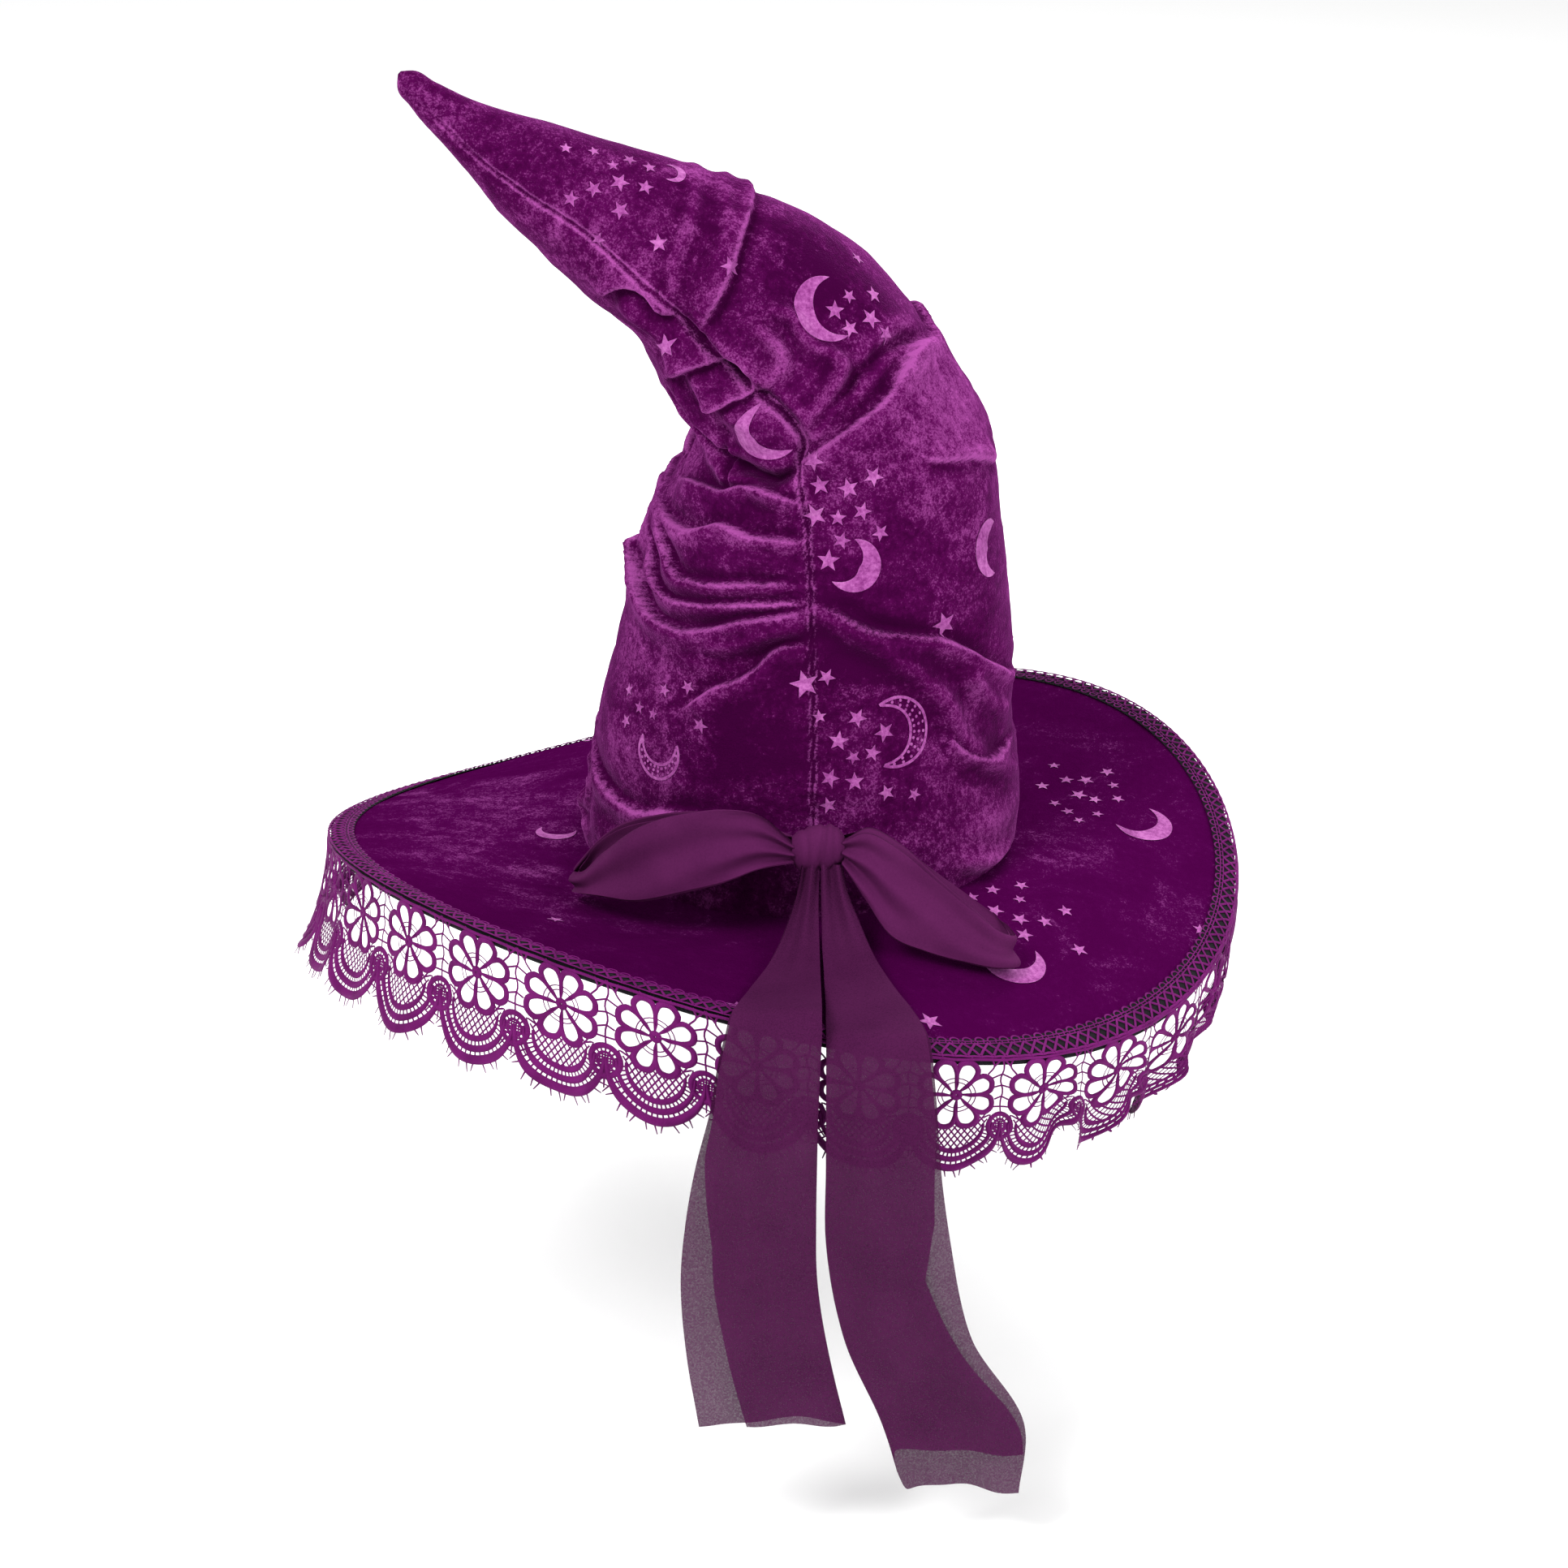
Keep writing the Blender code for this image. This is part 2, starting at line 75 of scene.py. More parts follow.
# Rings of the crown from its foot to the tip: centre x, height, tilt (degrees), half width, half depth.
CROWN_RINGS = (
    (0.0000, 0.0000, 0, 0.1025, 0.1020),
    (0.0020, 0.0220, 0, 0.1010, 0.1005),
    (0.0025, 0.0450, 0, 0.0980, 0.0970),
    (0.0040, 0.0700, 0, 0.0950, 0.0930),
    (0.0078, 0.1040, 0, 0.0900, 0.0880),
    (0.0108, 0.1360, 0, 0.0840, 0.0820),
    (0.0130, 0.1640, 0, 0.0780, 0.0765),
    (0.0175, 0.1860, 3, 0.0700, 0.0735),
    (0.0165, 0.2040, 9, 0.0625, 0.0690),
    (0.0050, 0.2230, 20, 0.0570, 0.0620),
    (-0.0166, 0.2480, 35, 0.0535, 0.0550),
    (-0.0420, 0.2710, 48, 0.0430, 0.0455),
    (-0.0648, 0.2850, 50, 0.0380, 0.0380),
    (-0.0912, 0.3010, 46, 0.0320, 0.0300),
    (-0.1192, 0.3187, 44, 0.0230, 0.0220),
    (-0.1435, 0.3335, 48, 0.0135, 0.0135),
    (-0.1640, 0.3490, 44, 0.0075, 0.0075),
    (-0.1715, 0.3560, 44, 0.0045, 0.0045),
    (-0.1735, 0.3582, 44, 0.0010, 0.0010),
)
CROWN_ROWS = 400
CROWN_COLUMNS = 480
BRIM_COLUMNS = 480

# Folds of the crown's velvet, drawn on its front as (x, z) points in centimetres.
# A lip stands proud on the left of its line and drops sharply to the right; a ridge is even.
# Columns: kind, height in millimetres, width in millimetres, points.
FOLDS = (
    ("lip", 5.0, 13, ((0.4, 14.1), (-2.3, 13.4), (-5.7, 12.3), (-6.5, 12.5), (-7.1, 13.2), (-7.3, 13.8),
                      (-7.3, 14.6))),
    ("lip", 3.6, 10, ((0.4, 14.5), (-2.3, 14.1), (-5.0, 13.5), (-5.6, 13.4), (-6.2, 13.8), (-6.6, 14.6),
                      (-6.7, 15.3))),
    ("lip", 3.6, 10, ((-0.4, 15.2), (-2.2, 15.0), (-4.3, 14.6), (-5.4, 14.6), (-5.8, 15.6), (-6.2, 16.3))),
    ("lip", 4.2, 12, ((0.2, 17.1), (-1.7, 17.0), (-3.3, 17.2), (-5.0, 16.5), (-5.7, 16.5), (-6.2, 16.7))),
    ("lip", 3.6, 11, ((0.1, 18.7), (-2.0, 19.0), (-3.6, 18.4), (-4.4, 18.3), (-5.3, 17.9))),
    ("crease", 2.6, 5, ((-3.0, 20.5), (-3.1, 19.5), (-3.2, 18.6))),
    ("lip", 4.2, 16, ((0.4, 12.7), (-0.9, 12.4), (-2.2, 11.1), (-3.9, 10.1), (-5.2, 8.9))),
    ("ridge", 1.8, 6, ((0.4, 13.4), (-1.0, 12.9), (-2.5, 12.2), (-4.2, 11.7))),
    ("lip", 3.6, 14, ((-4.2, 4.5), (-5.8, 4.2), (-7.6, 3.6), (-8.9, 4.0), (-9.5, 4.5))),
    ("ridge", 2.6, 9, ((-9.8, 0.1), (-10.2, 0.6), (-10.0, 1.4), (-9.7, 3.1))),
    ("lip", 5.0, 13, ((9.8, 8.4), (9.0, 9.6), (8.3, 10.4), (6.4, 12.1), (4.4, 12.8), (3.0, 13.2), (1.8, 13.9),
                      (0.8, 14.4))),
    ("ridge", 2.8, 10, ((0.9, 13.9), (2.1, 13.1), (3.6, 12.0), (5.0, 10.9), (6.2, 9.6), (7.2, 7.4), (8.6, 5.4),
                        (10.1, 3.6))),
    ("lip", 2.6, 9, ((9.9, 5.3), (8.8, 5.5), (7.6, 6.3), (6.8, 7.4))),
    ("ridge", 2.2, 8, ((7.4, 10.2), (8.4, 8.6), (9.6, 6.9))),
    ("ridge", 2.6, 9, ((7.2, 1.4), (8.8, 0.6), (9.9, 0.2))),
    ("lip", 3.0, 12, ((5.5, 20.0), (6.7, 19.7), (7.8, 19.3), (8.8, 18.4))),
    ("lip", 4.6, 16, ((5.9, 24.2), (4.9, 24.4), (4.4, 23.8), (3.8, 23.0), (2.5, 22.1), (1.2, 21.2),
                      (0.0, 20.4))),
    ("crease", 3.0, 7, ((0.3, 21.3), (1.4, 22.8), (2.9, 24.2), (4.6, 24.8), (5.5, 24.5))),
    ("ridge", 3.2, 7, ((0.4, 21.7), (1.6, 23.4), (1.8, 24.3), (0.4, 25.3), (-0.5, 26.5), (-1.5, 26.7))),
    ("ridge", 2.6, 7, ((-1.6, 23.7), (-0.7, 24.4), (-0.9, 25.1), (-2.1, 26.1))),
    ("lip", 3.6, 12, ((-4.1, 25.8), (-3.0, 27.8), (-2.3, 29.7), (-1.9, 30.6))),
    ("ridge", 1.5, 6, ((-3.3, 31.1), (-3.2, 29.7), (-3.7, 28.3))),
    ("ridge", 1.5, 6, ((-4.6, 31.5), (-4.7, 30.2), (-5.4, 28.6), (-5.4, 26.9))),
    ("lip", 4.0, 10, ((-8.6, 26.7), (-7.4, 27.4), (-6.8, 27.2), (-5.9, 26.3), (-5.4, 26.1))),
    ("lip", 4.0, 10, ((-5.8, 22.8), (-4.0, 24.2), (-2.7, 24.3), (-2.1, 23.5))),
    ("lip", 3.4, 8, ((-3.9, 22.2), (-2.4, 23.0), (-1.6, 23.3))),
    ("crease", 3.4, 6, ((-5.3, 26.2), (-3.5, 24.6), (-2.0, 23.5), (-0.5, 22.4), (0.2, 21.2), (0.0, 20.4))),
    ("crease", 4.4, 7, ((0.1, 20.2), (-1.0, 19.5), (-2.6, 19.7), (-4.4, 20.8), (-5.6, 21.9))),
    ("ridge", 4.0, 13, ((-8.0, 27.2), (-6.2, 25.6), (-4.6, 23.9), (-3.2, 22.8), (-1.9, 21.9))),
    ("ridge", 2.0, 6, ((-4.0, 19.3), (-3.0, 18.9), (-2.0, 19.2), (-1.2, 18.6))),
)
FOLD_DEPTH = 1.2
# Soft bulges of the padding: x, z in centimetres, radius in centimetres, height in millimetres.
BULGES = (
    (-1.5, 21.6, 1.6, 10.0),
    (-3.5, 22.9, 1.4, 5.0),
    (-3.6, 20.4, 1.6, 3.5),
    (-8.2, 6.5, 2.6, 2.5),
    (-9.3, 1.6, 1.8, 2.5),
    (8.6, 1.2, 2.2, 3.0),
    (-6.9, 26.6, 1.4, 3.0),
    (-5.0, 24.3, 1.4, 3.0),
)
# Painted highlights (positive strength) and painted shade (negative strength) on the crown's velvet: x, z,
# radius in centimetres, strength.
PAINTED_LIGHT_SPOTS = ((6.8, 21.6, 3.0, 3.0), (5.4, 23.4, 1.8, 0.9), (-3.0, 16.4, 1.5, 1.6), (-0.8, 24.6, 1.2, 2.0),
         (9.0, 9.0, 2.0, 1.6),
         (-8.6, 30.0, 2.0, 1.2), (3.5, 28.6, 1.6, 2.0), (8.2, 2.0, 2.2, 1.6), (0.6, 28.0, 2.0, -2.0),
         (2.5, 11.0, 2.4, -1.4),
         (-2.5, 7.0, 3.0, -1.2), (-5.0, 20.0, 1.6, 1.4), (0.8, 21.9, 0.9, 2.2), (7.0, 16.5, 2.6, 0.8),
         (-7.2, 15.0, 1.2, 1.4),
         (-8.2, 6.0, 1.6, 1.2), (-4.4, 31.6, 1.4, 1.4))
FRONT_SEAM = ((0.6, 0.0), (0.6, 2.8), (0.6, 8.6), (0.5, 14.4), (0.3, 17.6), (0.0, 20.2), (0.1, 21.2),
              (-0.7, 22.4),
              (-2.1, 23.4), (-3.5, 24.5), (-5.1, 26.0), (-5.5, 26.5), (-7.1, 27.9), (-8.1, 28.6), (-9.7, 29.8),
              (-11.8, 31.0), (-14.3, 32.7), (-15.6, 33.9), (-16.8, 34.9))

# Stars pressed in the crown's velvet: x, z in centimetres and radius in millimetres.
CROWN_STARS = (
    (-10.1, 32.9, 2.0), (-8.9, 32.7, 2.0), (-7.4, 32.3, 2.4), (-6.5, 32.0, 2.4), (-8.1, 32.2, 2.0),
    (-7.8, 31.6, 3.2), (-8.9, 31.4, 2.7), (-6.7, 31.4, 2.7), (-9.9, 31.0, 2.7), (-7.7, 30.5, 3.0),
    (-8.7, 29.3, 2.5), (-6.1, 29.3, 3.0), (-3.0, 28.3, 3.0), (2.1, 26.9, 2.5), (3.2, 26.6, 3.0),
    (1.5, 26.5, 3.3), (3.1, 25.9, 3.6), (2.2, 25.7, 3.0), (3.7, 25.1, 2.9), (2.6, 27.8, 2.6), (-5.4, 25.0, 3.8),
    (0.7, 20.5, 3.3), (0.9, 19.4, 3.3), (2.1, 19.3, 3.4), (3.2, 19.8, 3.3), (0.7, 18.1, 4.0), (1.7, 18.0, 2.8),
    (2.7, 18.3, 3.1), (3.5, 17.3, 2.9), (1.8, 17.1, 3.0), (1.3, 16.2, 3.7), (6.5, 12.7, 4.4), (1.2, 11.1, 2.9),
    (0.2, 10.7, 4.8), (0.9, 9.3, 2.4), (2.5, 9.2, 3.2), (3.8, 8.4, 3.5), (1.7, 8.2, 3.4), (3.2, 7.5, 2.9),
    (2.4, 7.4, 2.5), (1.4, 6.4, 3.2), (2.5, 6.2, 3.2), (3.9, 5.6, 2.9), (5.1, 5.2, 2.4), (1.3, 5.2, 2.9),
    (-7.6, 8.6, 2.3), (-6.0, 9.4, 2.4), (-5.0, 9.8, 2.4), (-7.1, 8.1, 2.4), (-6.5, 8.1, 2.1), (-7.7, 7.2, 2.4),
    (-4.3, 8.4, 2.8),
)

# ---------------------------------------------------------------- small tools


def smooth_table(rows, count, power=1.0):
    """Cubic curve through the rows of a table, sampled by the length of its first two columns."""
    rows = np.array(rows, float)
    step = np.linalg.norm(np.diff(rows[:, :2], axis=0), axis=1)
    at = np.concatenate([[0.0], np.cumsum(step)])
    slope = np.gradient(rows, at, axis=0)
    where = np.linspace(0.0, 1.0, count) ** power * at[-1]
    i = np.clip(np.searchsorted(at, where) - 1, 0, len(rows) - 2)
    h = (at[i + 1] - at[i])[:, None]
    t = (where - at[i])[:, None] / h
    return (
        (2 * t**3 - 3 * t**2 + 1) * rows[i]
        + (t**3 - 2 * t**2 + t) * h * slope[i]
        + (3 * t**2 - 2 * t**3) * rows[i + 1]
        + (t**3 - t**2) * h * slope[i + 1]
    )


def smooth_path(points, count):
    """A rounded curve through points of two or three numbers, evenly sampled."""
    points = np.array(points, float)
    at = np.concatenate([[0.0], np.cumsum(np.linalg.norm(np.diff(points, axis=0), axis=1))])
    where = np.linspace(0.0, at[-1], count)
    if len(points) < 3:
        return np.stack([np.interp(where, at, column) for column in points.T], -1)
    slope = np.gradient(points, at, axis=0)
    i = np.clip(np.searchsorted(at, where) - 1, 0, len(points) - 2)
    h = (at[i + 1] - at[i])[:, None]
    t = (where - at[i])[:, None] / h
    return (
        (2 * t**3 - 3 * t**2 + 1) * points[i]
        + (t**3 - 2 * t**2 + t) * h * slope[i]
        + (3 * t**2 - 2 * t**3) * points[i + 1]
        + (t**3 - t**2) * h * slope[i + 1]
    )


def grid_faces(rows, columns, wrap):
    """Four-sided faces of a grid of points; wrap joins the last column to the first."""
    r = np.arange(rows - 1)[:, None]
    c = np.arange(columns if wrap else columns - 1)[None, :]
    n = (c + 1) % columns
    return np.stack([r * columns + c, r * columns + n, (r + 1) * columns + n, (r + 1) * columns + c],
                    -1).reshape(-1, 4)


def mesh_object(name, points, faces, material, smooth=True):
    mesh = bpy.data.meshes.new(name)
    mesh.from_pydata(np.asarray(points, float).reshape(-1, 3).tolist(), [], [list(map(int, f)) for f in faces])
    mesh.validate()
    if smooth:
        mesh.shade_smooth()
    mesh.materials.append(material)
    item = bpy.data.objects.new(name, mesh)
    bpy.context.scene.collection.objects.link(item)
    return item


def grid_object(name, points, material, wrap=False, flip=False):
    rows, columns = points.shape[:2]
    faces = grid_faces(rows, columns, wrap)
    if flip:
        faces = faces[:, ::-1]
    return mesh_object(name, points, faces, material)


def grid_normals(points, wrap):
    """Unit normals of a grid of points; the sign follows rows x columns."""
    along = np.gradient(points, axis=0)
    if wrap:
        across = np.roll(points, -1, 1) - np.roll(points, 1, 1)
    else:
        across = np.gradient(points, axis=1)
    normal = np.cross(across, along)
    return normal / (np.linalg.norm(normal, axis=-1, keepdims=True) + 1e-12)


def wave_noise(points, scale, seed, octaves=2):
    """Smooth noise between about -1 and 1 at each point, with features of the size scale."""
    flat = np.asarray(points).reshape(-1, 3) / scale + seed * 17.3
    values = np.array([noise.fractal(Vector(p), 1.0, 2.0, octaves) for p in flat])
    return values.reshape(np.asarray(points).shape[:-1])


def bilinear(grid, row, column, wrap):
    """Values of a grid at fractional rows and columns."""
    rows, columns = grid.shape[:2]
    row = np.clip(row, 0, rows - 1.001)
    r = np.floor(row).astype(int)
    fr = (row - r)[..., None]
    c = np.floor(column).astype(int)
    fc = (column - c)[..., None]
    if wrap:
        c0, c1 = c % columns, (c + 1) % columns
    else:
        c0 = np.clip(c, 0, columns - 1)
        c1 = np.clip(c + 1, 0, columns - 1)
    low = grid[r, c0] * (1 - fc) + grid[r, c1] * fc
    high = grid[r + 1, c0] * (1 - fc) + grid[r + 1, c1] * fc
    return low * (1 - fr) + high * fr


# ---------------------------------------------------------------- materials


class Nodes:
    """A short way to write a node material."""

    def __init__(self, name):
        self.material = bpy.data.materials.new(name)
        self.material.use_nodes = True
        self.tree = self.material.node_tree
        self.shader = self.tree.nodes["Principled BSDF"]
        self.place = self.add("ShaderNodeTexCoord").outputs["Object"]

    def add(self, kind, **settings):
        node = self.tree.nodes.new(kind)
        for key, value in settings.items():
            setattr(node, key, value)
        return node

    def link(self, source, target):
        self.tree.links.new(source, target)

    def noise(self, scale, detail=2.0, roughness=0.5, distortion=0.0, stretch=None):
        node = self.add("ShaderNodeTexNoise")
        node.inputs["Scale"].default_value = scale
        node.inputs["Detail"].default_value = detail
        node.inputs["Roughness"].default_value = roughness
        node.inputs["Distortion"].default_value = distortion
        place = self.place
        if stretch:
            mapping = self.add("ShaderNodeMapping")
            mapping.inputs["Scale"].default_value = stretch
            self.link(place, mapping.inputs["Vector"])
            place = mapping.outputs["Vector"]
        self.link(place, node.inputs["Vector"])
        return node.outputs["Fac"]

    def ramp(self, source, stops):
        node = self.add("ShaderNodeValToRGB")
        elements = node.color_ramp.elements
        while len(elements) < len(stops):
            elements.new(0.5)
        for element, (at, colour) in zip(elements, stops):
            element.position = at
            element.color = (*colour, 1.0) if len(colour) == 3 else colour
        self.link(source, node.inputs["Fac"])
        return node.outputs["Color"]

    def mix(self, a, b, share, blend="MIX"):
        node = self.add("ShaderNodeMix", data_type="RGBA", blend_type=blend)
        for value, socket in ((share, node.inputs[0]), (a, node.inputs[6]), (b, node.inputs[7])):
            if isinstance(value, (int, float)):
                socket.default_value = value
            elif isinstance(value, tuple):
                socket.default_value = (*value, 1.0)
            else:
                self.link(value, socket)
        return node.outputs[2]

    def math(self, kind, a, b=0.0):
        node = self.add("ShaderNodeMath", operation=kind)
        for value, socket in ((a, node.inputs[0]), (b, node.inputs[1])):
            if isinstance(value, (int, float)):
                socket.default_value = value
            else:
                self.link(value, socket)
        return node.outputs[0]

    def bump(self, height, strength, distance, after=None):
        node = self.add("ShaderNodeBump")
        node.inputs["Strength"].default_value = strength
        node.inputs["Distance"].default_value = distance
        self.link(height, node.inputs["Height"])
        if after:
            self.link(after, node.inputs["Normal"])
        return node.outputs["Normal"]

    def set(self, **values):
        for key, value in values.items():
            socket = self.shader.inputs[key.replace("_", " ")]
            if isinstance(value, (int, float)):
                socket.default_value = value
            elif isinstance(value, tuple):
                socket.default_value = (*value, 1.0)
            else:
                self.link(value, socket)


def velvet(name, dark, lit, bright, sheen, glitter):
    """Crushed panne velvet: deep colour with bright flecks of random pile tone and painted highlight, most on
    crests and fold edges, with painted shade in the creases.
    """
    n = Nodes(name)
    fine = n.noise(1150.0, 2.0, 0.7)
    mottle = n.noise(330.0, 4.0, 0.75, 0.3)
    patch = n.noise(24.0, 4.0, 0.65, 1.0)
    # Both attributes hold painted light: the first lightens ridges and darkens creases, the second paints
    # highlight lines along fold edges.
    painted_light_and_shade = n.add("ShaderNodeAttribute", attribute_name="painted_light_and_shade").outputs["Fac"]
    edge = n.add("ShaderNodeAttribute", attribute_name="edge").outputs["Fac"]
    depth = n.math("ADD", n.math("MULTIPLY", mottle, 0.45), n.math("MULTIPLY", patch, 0.55))
    # Painted shade in creases and painted light on ridges shift the tone between dark and lit.
    depth = n.math("ADD", depth, n.math("MULTIPLY", painted_light_and_shade, 0.07))
    deep = n.ramp(depth, ((0.40, dark), (0.62, lit)))
    flecks_and_painted_highlight = n.math("ADD", n.math("MULTIPLY", fine, 0.55), n.math("MULTIPLY", mottle, 0.55))
    flecks_and_painted_highlight = n.math("ADD", flecks_and_painted_highlight, n.math("MULTIPLY", n.math("SUBTRACT", patch, 0.5), 0.68))
    # Painted highlights gather as flecks on the crests and fold edges.
    flecks_and_painted_highlight = n.math("ADD", flecks_and_painted_highlight, n.math("ADD", n.math("MULTIPLY", painted_light_and_shade, 0.050),
                                          n.math("MULTIPLY", edge, 0.25)))
    flecks_and_painted_highlight = n.ramp(flecks_and_painted_highlight, ((glitter, (0.0, 0.0, 0.0)), (glitter + 0.29, (1.0, 1.0, 1.0))))
    n.set(Base_Color=n.mix(deep, bright, flecks_and_painted_highlight), Roughness=0.60, Specular_IOR_Level=0.0)
    n.set(Sheen_Weight=sheen, Sheen_Roughness=0.30, Sheen_Tint=(0.62, 0.13, 0.56))
    height = n.math("ADD", n.math("MULTIPLY", mottle, 0.7), n.math("MULTIPLY", fine, 0.5))
    n.set(Normal=n.bump(height, 0.75, 0.0010))
    return n.material


def set_painted_light(item, name, values):
    """A number at each point for the velvet's colour: painted light and shade on its ridges and creases, or a
    painted highlight line along a fold's edge.
    """
    attribute = item.data.attributes.new(name, "FLOAT", "POINT")
    attribute.data.foreach_set("value", np.asarray(values, np.float32).reshape(-1))


# In both velvets the third colour is the painted highlight laid on as flecks.
VELVET = velvet("crushed_velvet", (0.036, 0.0008, 0.029), (0.082, 0.0024, 0.066), (0.30, 0.056, 0.260), 0.42,
                0.585)

BRIM_VELVET_LOOK = velvet("brim_velvet_pile", (0.046, 0.0006, 0.038), (0.056, 0.0012, 0.048),
                          (0.25, 0.045, 0.220), 0.0, 0.635)


def plain_cloth(name, colour, bright, scale=900.0):
    n = Nodes(name)
    across = n.add("ShaderNodeTexWave", wave_type="BANDS", bands_direction="X")
    across.inputs["Scale"].default_value = scale
    across.inputs["Distortion"].default_value = 0.4
    down = n.add("ShaderNodeTexWave", wave_type="BANDS", bands_direction="Y")
    down.inputs["Scale"].default_value = scale
    down.inputs["Distortion"].default_value = 0.4
    n.link(n.place, across.inputs["Vector"])
    n.link(n.place, down.inputs["Vector"])
    weave = n.math("MULTIPLY", across.outputs["Fac"], down.outputs["Fac"])
    patch = n.noise(60.0, 3.0)
    base = n.ramp(n.math("ADD", n.math("MULTIPLY", weave, 0.5), n.math("MULTIPLY", patch, 0.5)),
                  ((0.2, colour), (0.8, bright)))
    n.set(Base_Color=base, Roughness=0.85, Specular_IOR_Level=0.05, Sheen_Weight=0.03, Sheen_Roughness=0.5)
    n.set(Normal=n.bump(weave, 0.4, 0.0003))
    return n.material


BLACK_CLOTH = plain_cloth("black_woven_cloth", (0.004, 0.003, 0.005), (0.018, 0.015, 0.020))
PALE_FOAM = plain_cloth("pale_padding", (0.45, 0.43, 0.38), (0.62, 0.60, 0.54), 300.0)


def thread(name, dark, lit):
    """Satin-stitched thread: fine stitches across each cord."""
    n = Nodes(name)
    along = n.add("ShaderNodeAttribute", attribute_name="along")
    stitch = n.math("SINE", n.math("MULTIPLY", along.outputs["Fac"], 14.0))
    stitch = n.math("ADD", n.math("MULTIPLY", stitch, 0.5), 0.5)
    fuzz = n.noise(1500.0, 3.0, 0.6)
    tone = n.noise(90.0, 2.0)
    share = n.math("ADD", n.math("MULTIPLY", stitch, 0.35), n.math("MULTIPLY", tone, 0.65))
    base = n.ramp(share, ((0.25, dark), (0.75, lit)))
    n.set(Base_Color=base, Roughness=0.55, Specular_IOR_Level=0.06, Sheen_Weight=0.10, Sheen_Roughness=0.35,
          Sheen_Tint=lit)
    height = n.math("ADD", n.math("MULTIPLY", stitch, 0.6), n.math("MULTIPLY", fuzz, 0.6))
    n.set(Normal=n.bump(height, 0.45, 0.0004))
    return n.material


LACE_THREAD = thread("purple_lace_thread", (0.075, 0.0020, 0.062), (0.172, 0.0100, 0.144))


def chiffon(name, alpha, painted_light_gain=1.0):
    """Sheer crepe chiffon: a fine woven mesh, so that two layers are darker than one."""
    n = Nodes(name)
    grain = n.noise(1100.0, 2.0, 0.6)
    threads = n.noise(520.0, 1.0, 0.5, stretch=(1.0, 1.0, 0.25))
    cloud = n.noise(40.0, 2.0)
    tone = n.math("ADD", n.math("MULTIPLY", grain, 0.4), n.math("MULTIPLY", cloud, 0.6))
    base = n.ramp(tone, ((0.3, tuple(painted_light_gain * c for c in (0.047, 0.0055, 0.037))),
                         (0.7, tuple(painted_light_gain * c for c in (0.064, 0.0085, 0.050)))))
    mesh_holes = n.math("ADD", n.math("MULTIPLY", grain, 0.24), alpha - 0.12)
    n.set(Base_Color=base, Roughness=0.75, Specular_IOR_Level=0.02, Alpha=mesh_holes, Sheen_Weight=0.03,
          Sheen_Roughness=0.4,
          Sheen_Tint=(0.45, 0.15, 0.40))
    height = n.math("ADD", n.math("MULTIPLY", grain, 0.6), n.math("MULTIPLY", threads, 0.6))
    n.set(Normal=n.bump(height, 0.28, 0.0004))
    return n.material


CHIFFON = chiffon("sheer_chiffon", 0.915)
# The knot and loops use an opaque copy of the chiffon with its colour brightened 1.35 times: painted light.
CHIFFON_KNOT = chiffon("wrapped_chiffon", 1.02, 1.35)


def grosgrain():
    n = Nodes("black_grosgrain")
    ribs = n.add("ShaderNodeTexWave", wave_type="BANDS", bands_direction="Z")
    ribs.inputs["Scale"].default_value = 330.0
    n.link(n.place, ribs.inputs["Vector"])
    fuzz = n.noise(800.0, 2.0)
    base = n.ramp(n.math("MULTIPLY", ribs.outputs["Fac"], fuzz),
                  ((0.1, (0.006, 0.005, 0.007)), (0.6, (0.030, 0.026, 0.032))))
    n.set(Base_Color=base, Roughness=0.6, Specular_IOR_Level=0.35)
    n.set(Normal=n.bump(ribs.outputs["Fac"], 0.5, 0.0004))
    return n.material


def steel():
    n = Nodes("drawn_steel_wire")
    marks = n.noise(600.0, 2.0, stretch=(1.0, 1.0, 6.0))
    n.set(Base_Color=n.ramp(marks, ((0.3, (0.38, 0.38, 0.40)), (0.7, (0.58, 0.58, 0.60)))), Metallic=1.0,
          Roughness=0.35)
    n.set(Normal=n.bump(marks, 0.2, 0.0002))
    return n.material


GROSGRAIN = grosgrain()
WIRE = steel()


def pressed(name):
    n = Nodes(name)
    fine = n.noise(520.0, 4.0, 0.75)
    patch = n.noise(60.0, 3.0, 0.6, 0.6)
    tone = n.math("ADD", n.math("MULTIPLY", fine, 0.6), n.math("MULTIPLY", patch, 0.4))
    base = n.ramp(tone, ((0.36, (0.17, 0.020, 0.145)), (0.50, (0.30, 0.065, 0.265)),
                         (0.64, (0.44, 0.130, 0.390))))
    n.set(Base_Color=base, Roughness=0.60, Specular_IOR_Level=0.05, Sheen_Weight=0.10, Sheen_Roughness=0.4,
          Sheen_Tint=(0.8, 0.3, 0.7))
    n.set(Normal=n.bump(fine, 0.3, 0.0004))
    return n.material


PRESSED = pressed("pressed_pile")

# ---------------------------------------------------------------- crown


def bell(distance, width):
    """One at distance nought, falling off smoothly over the width."""
    return math.exp(-((distance / width) ** 2))


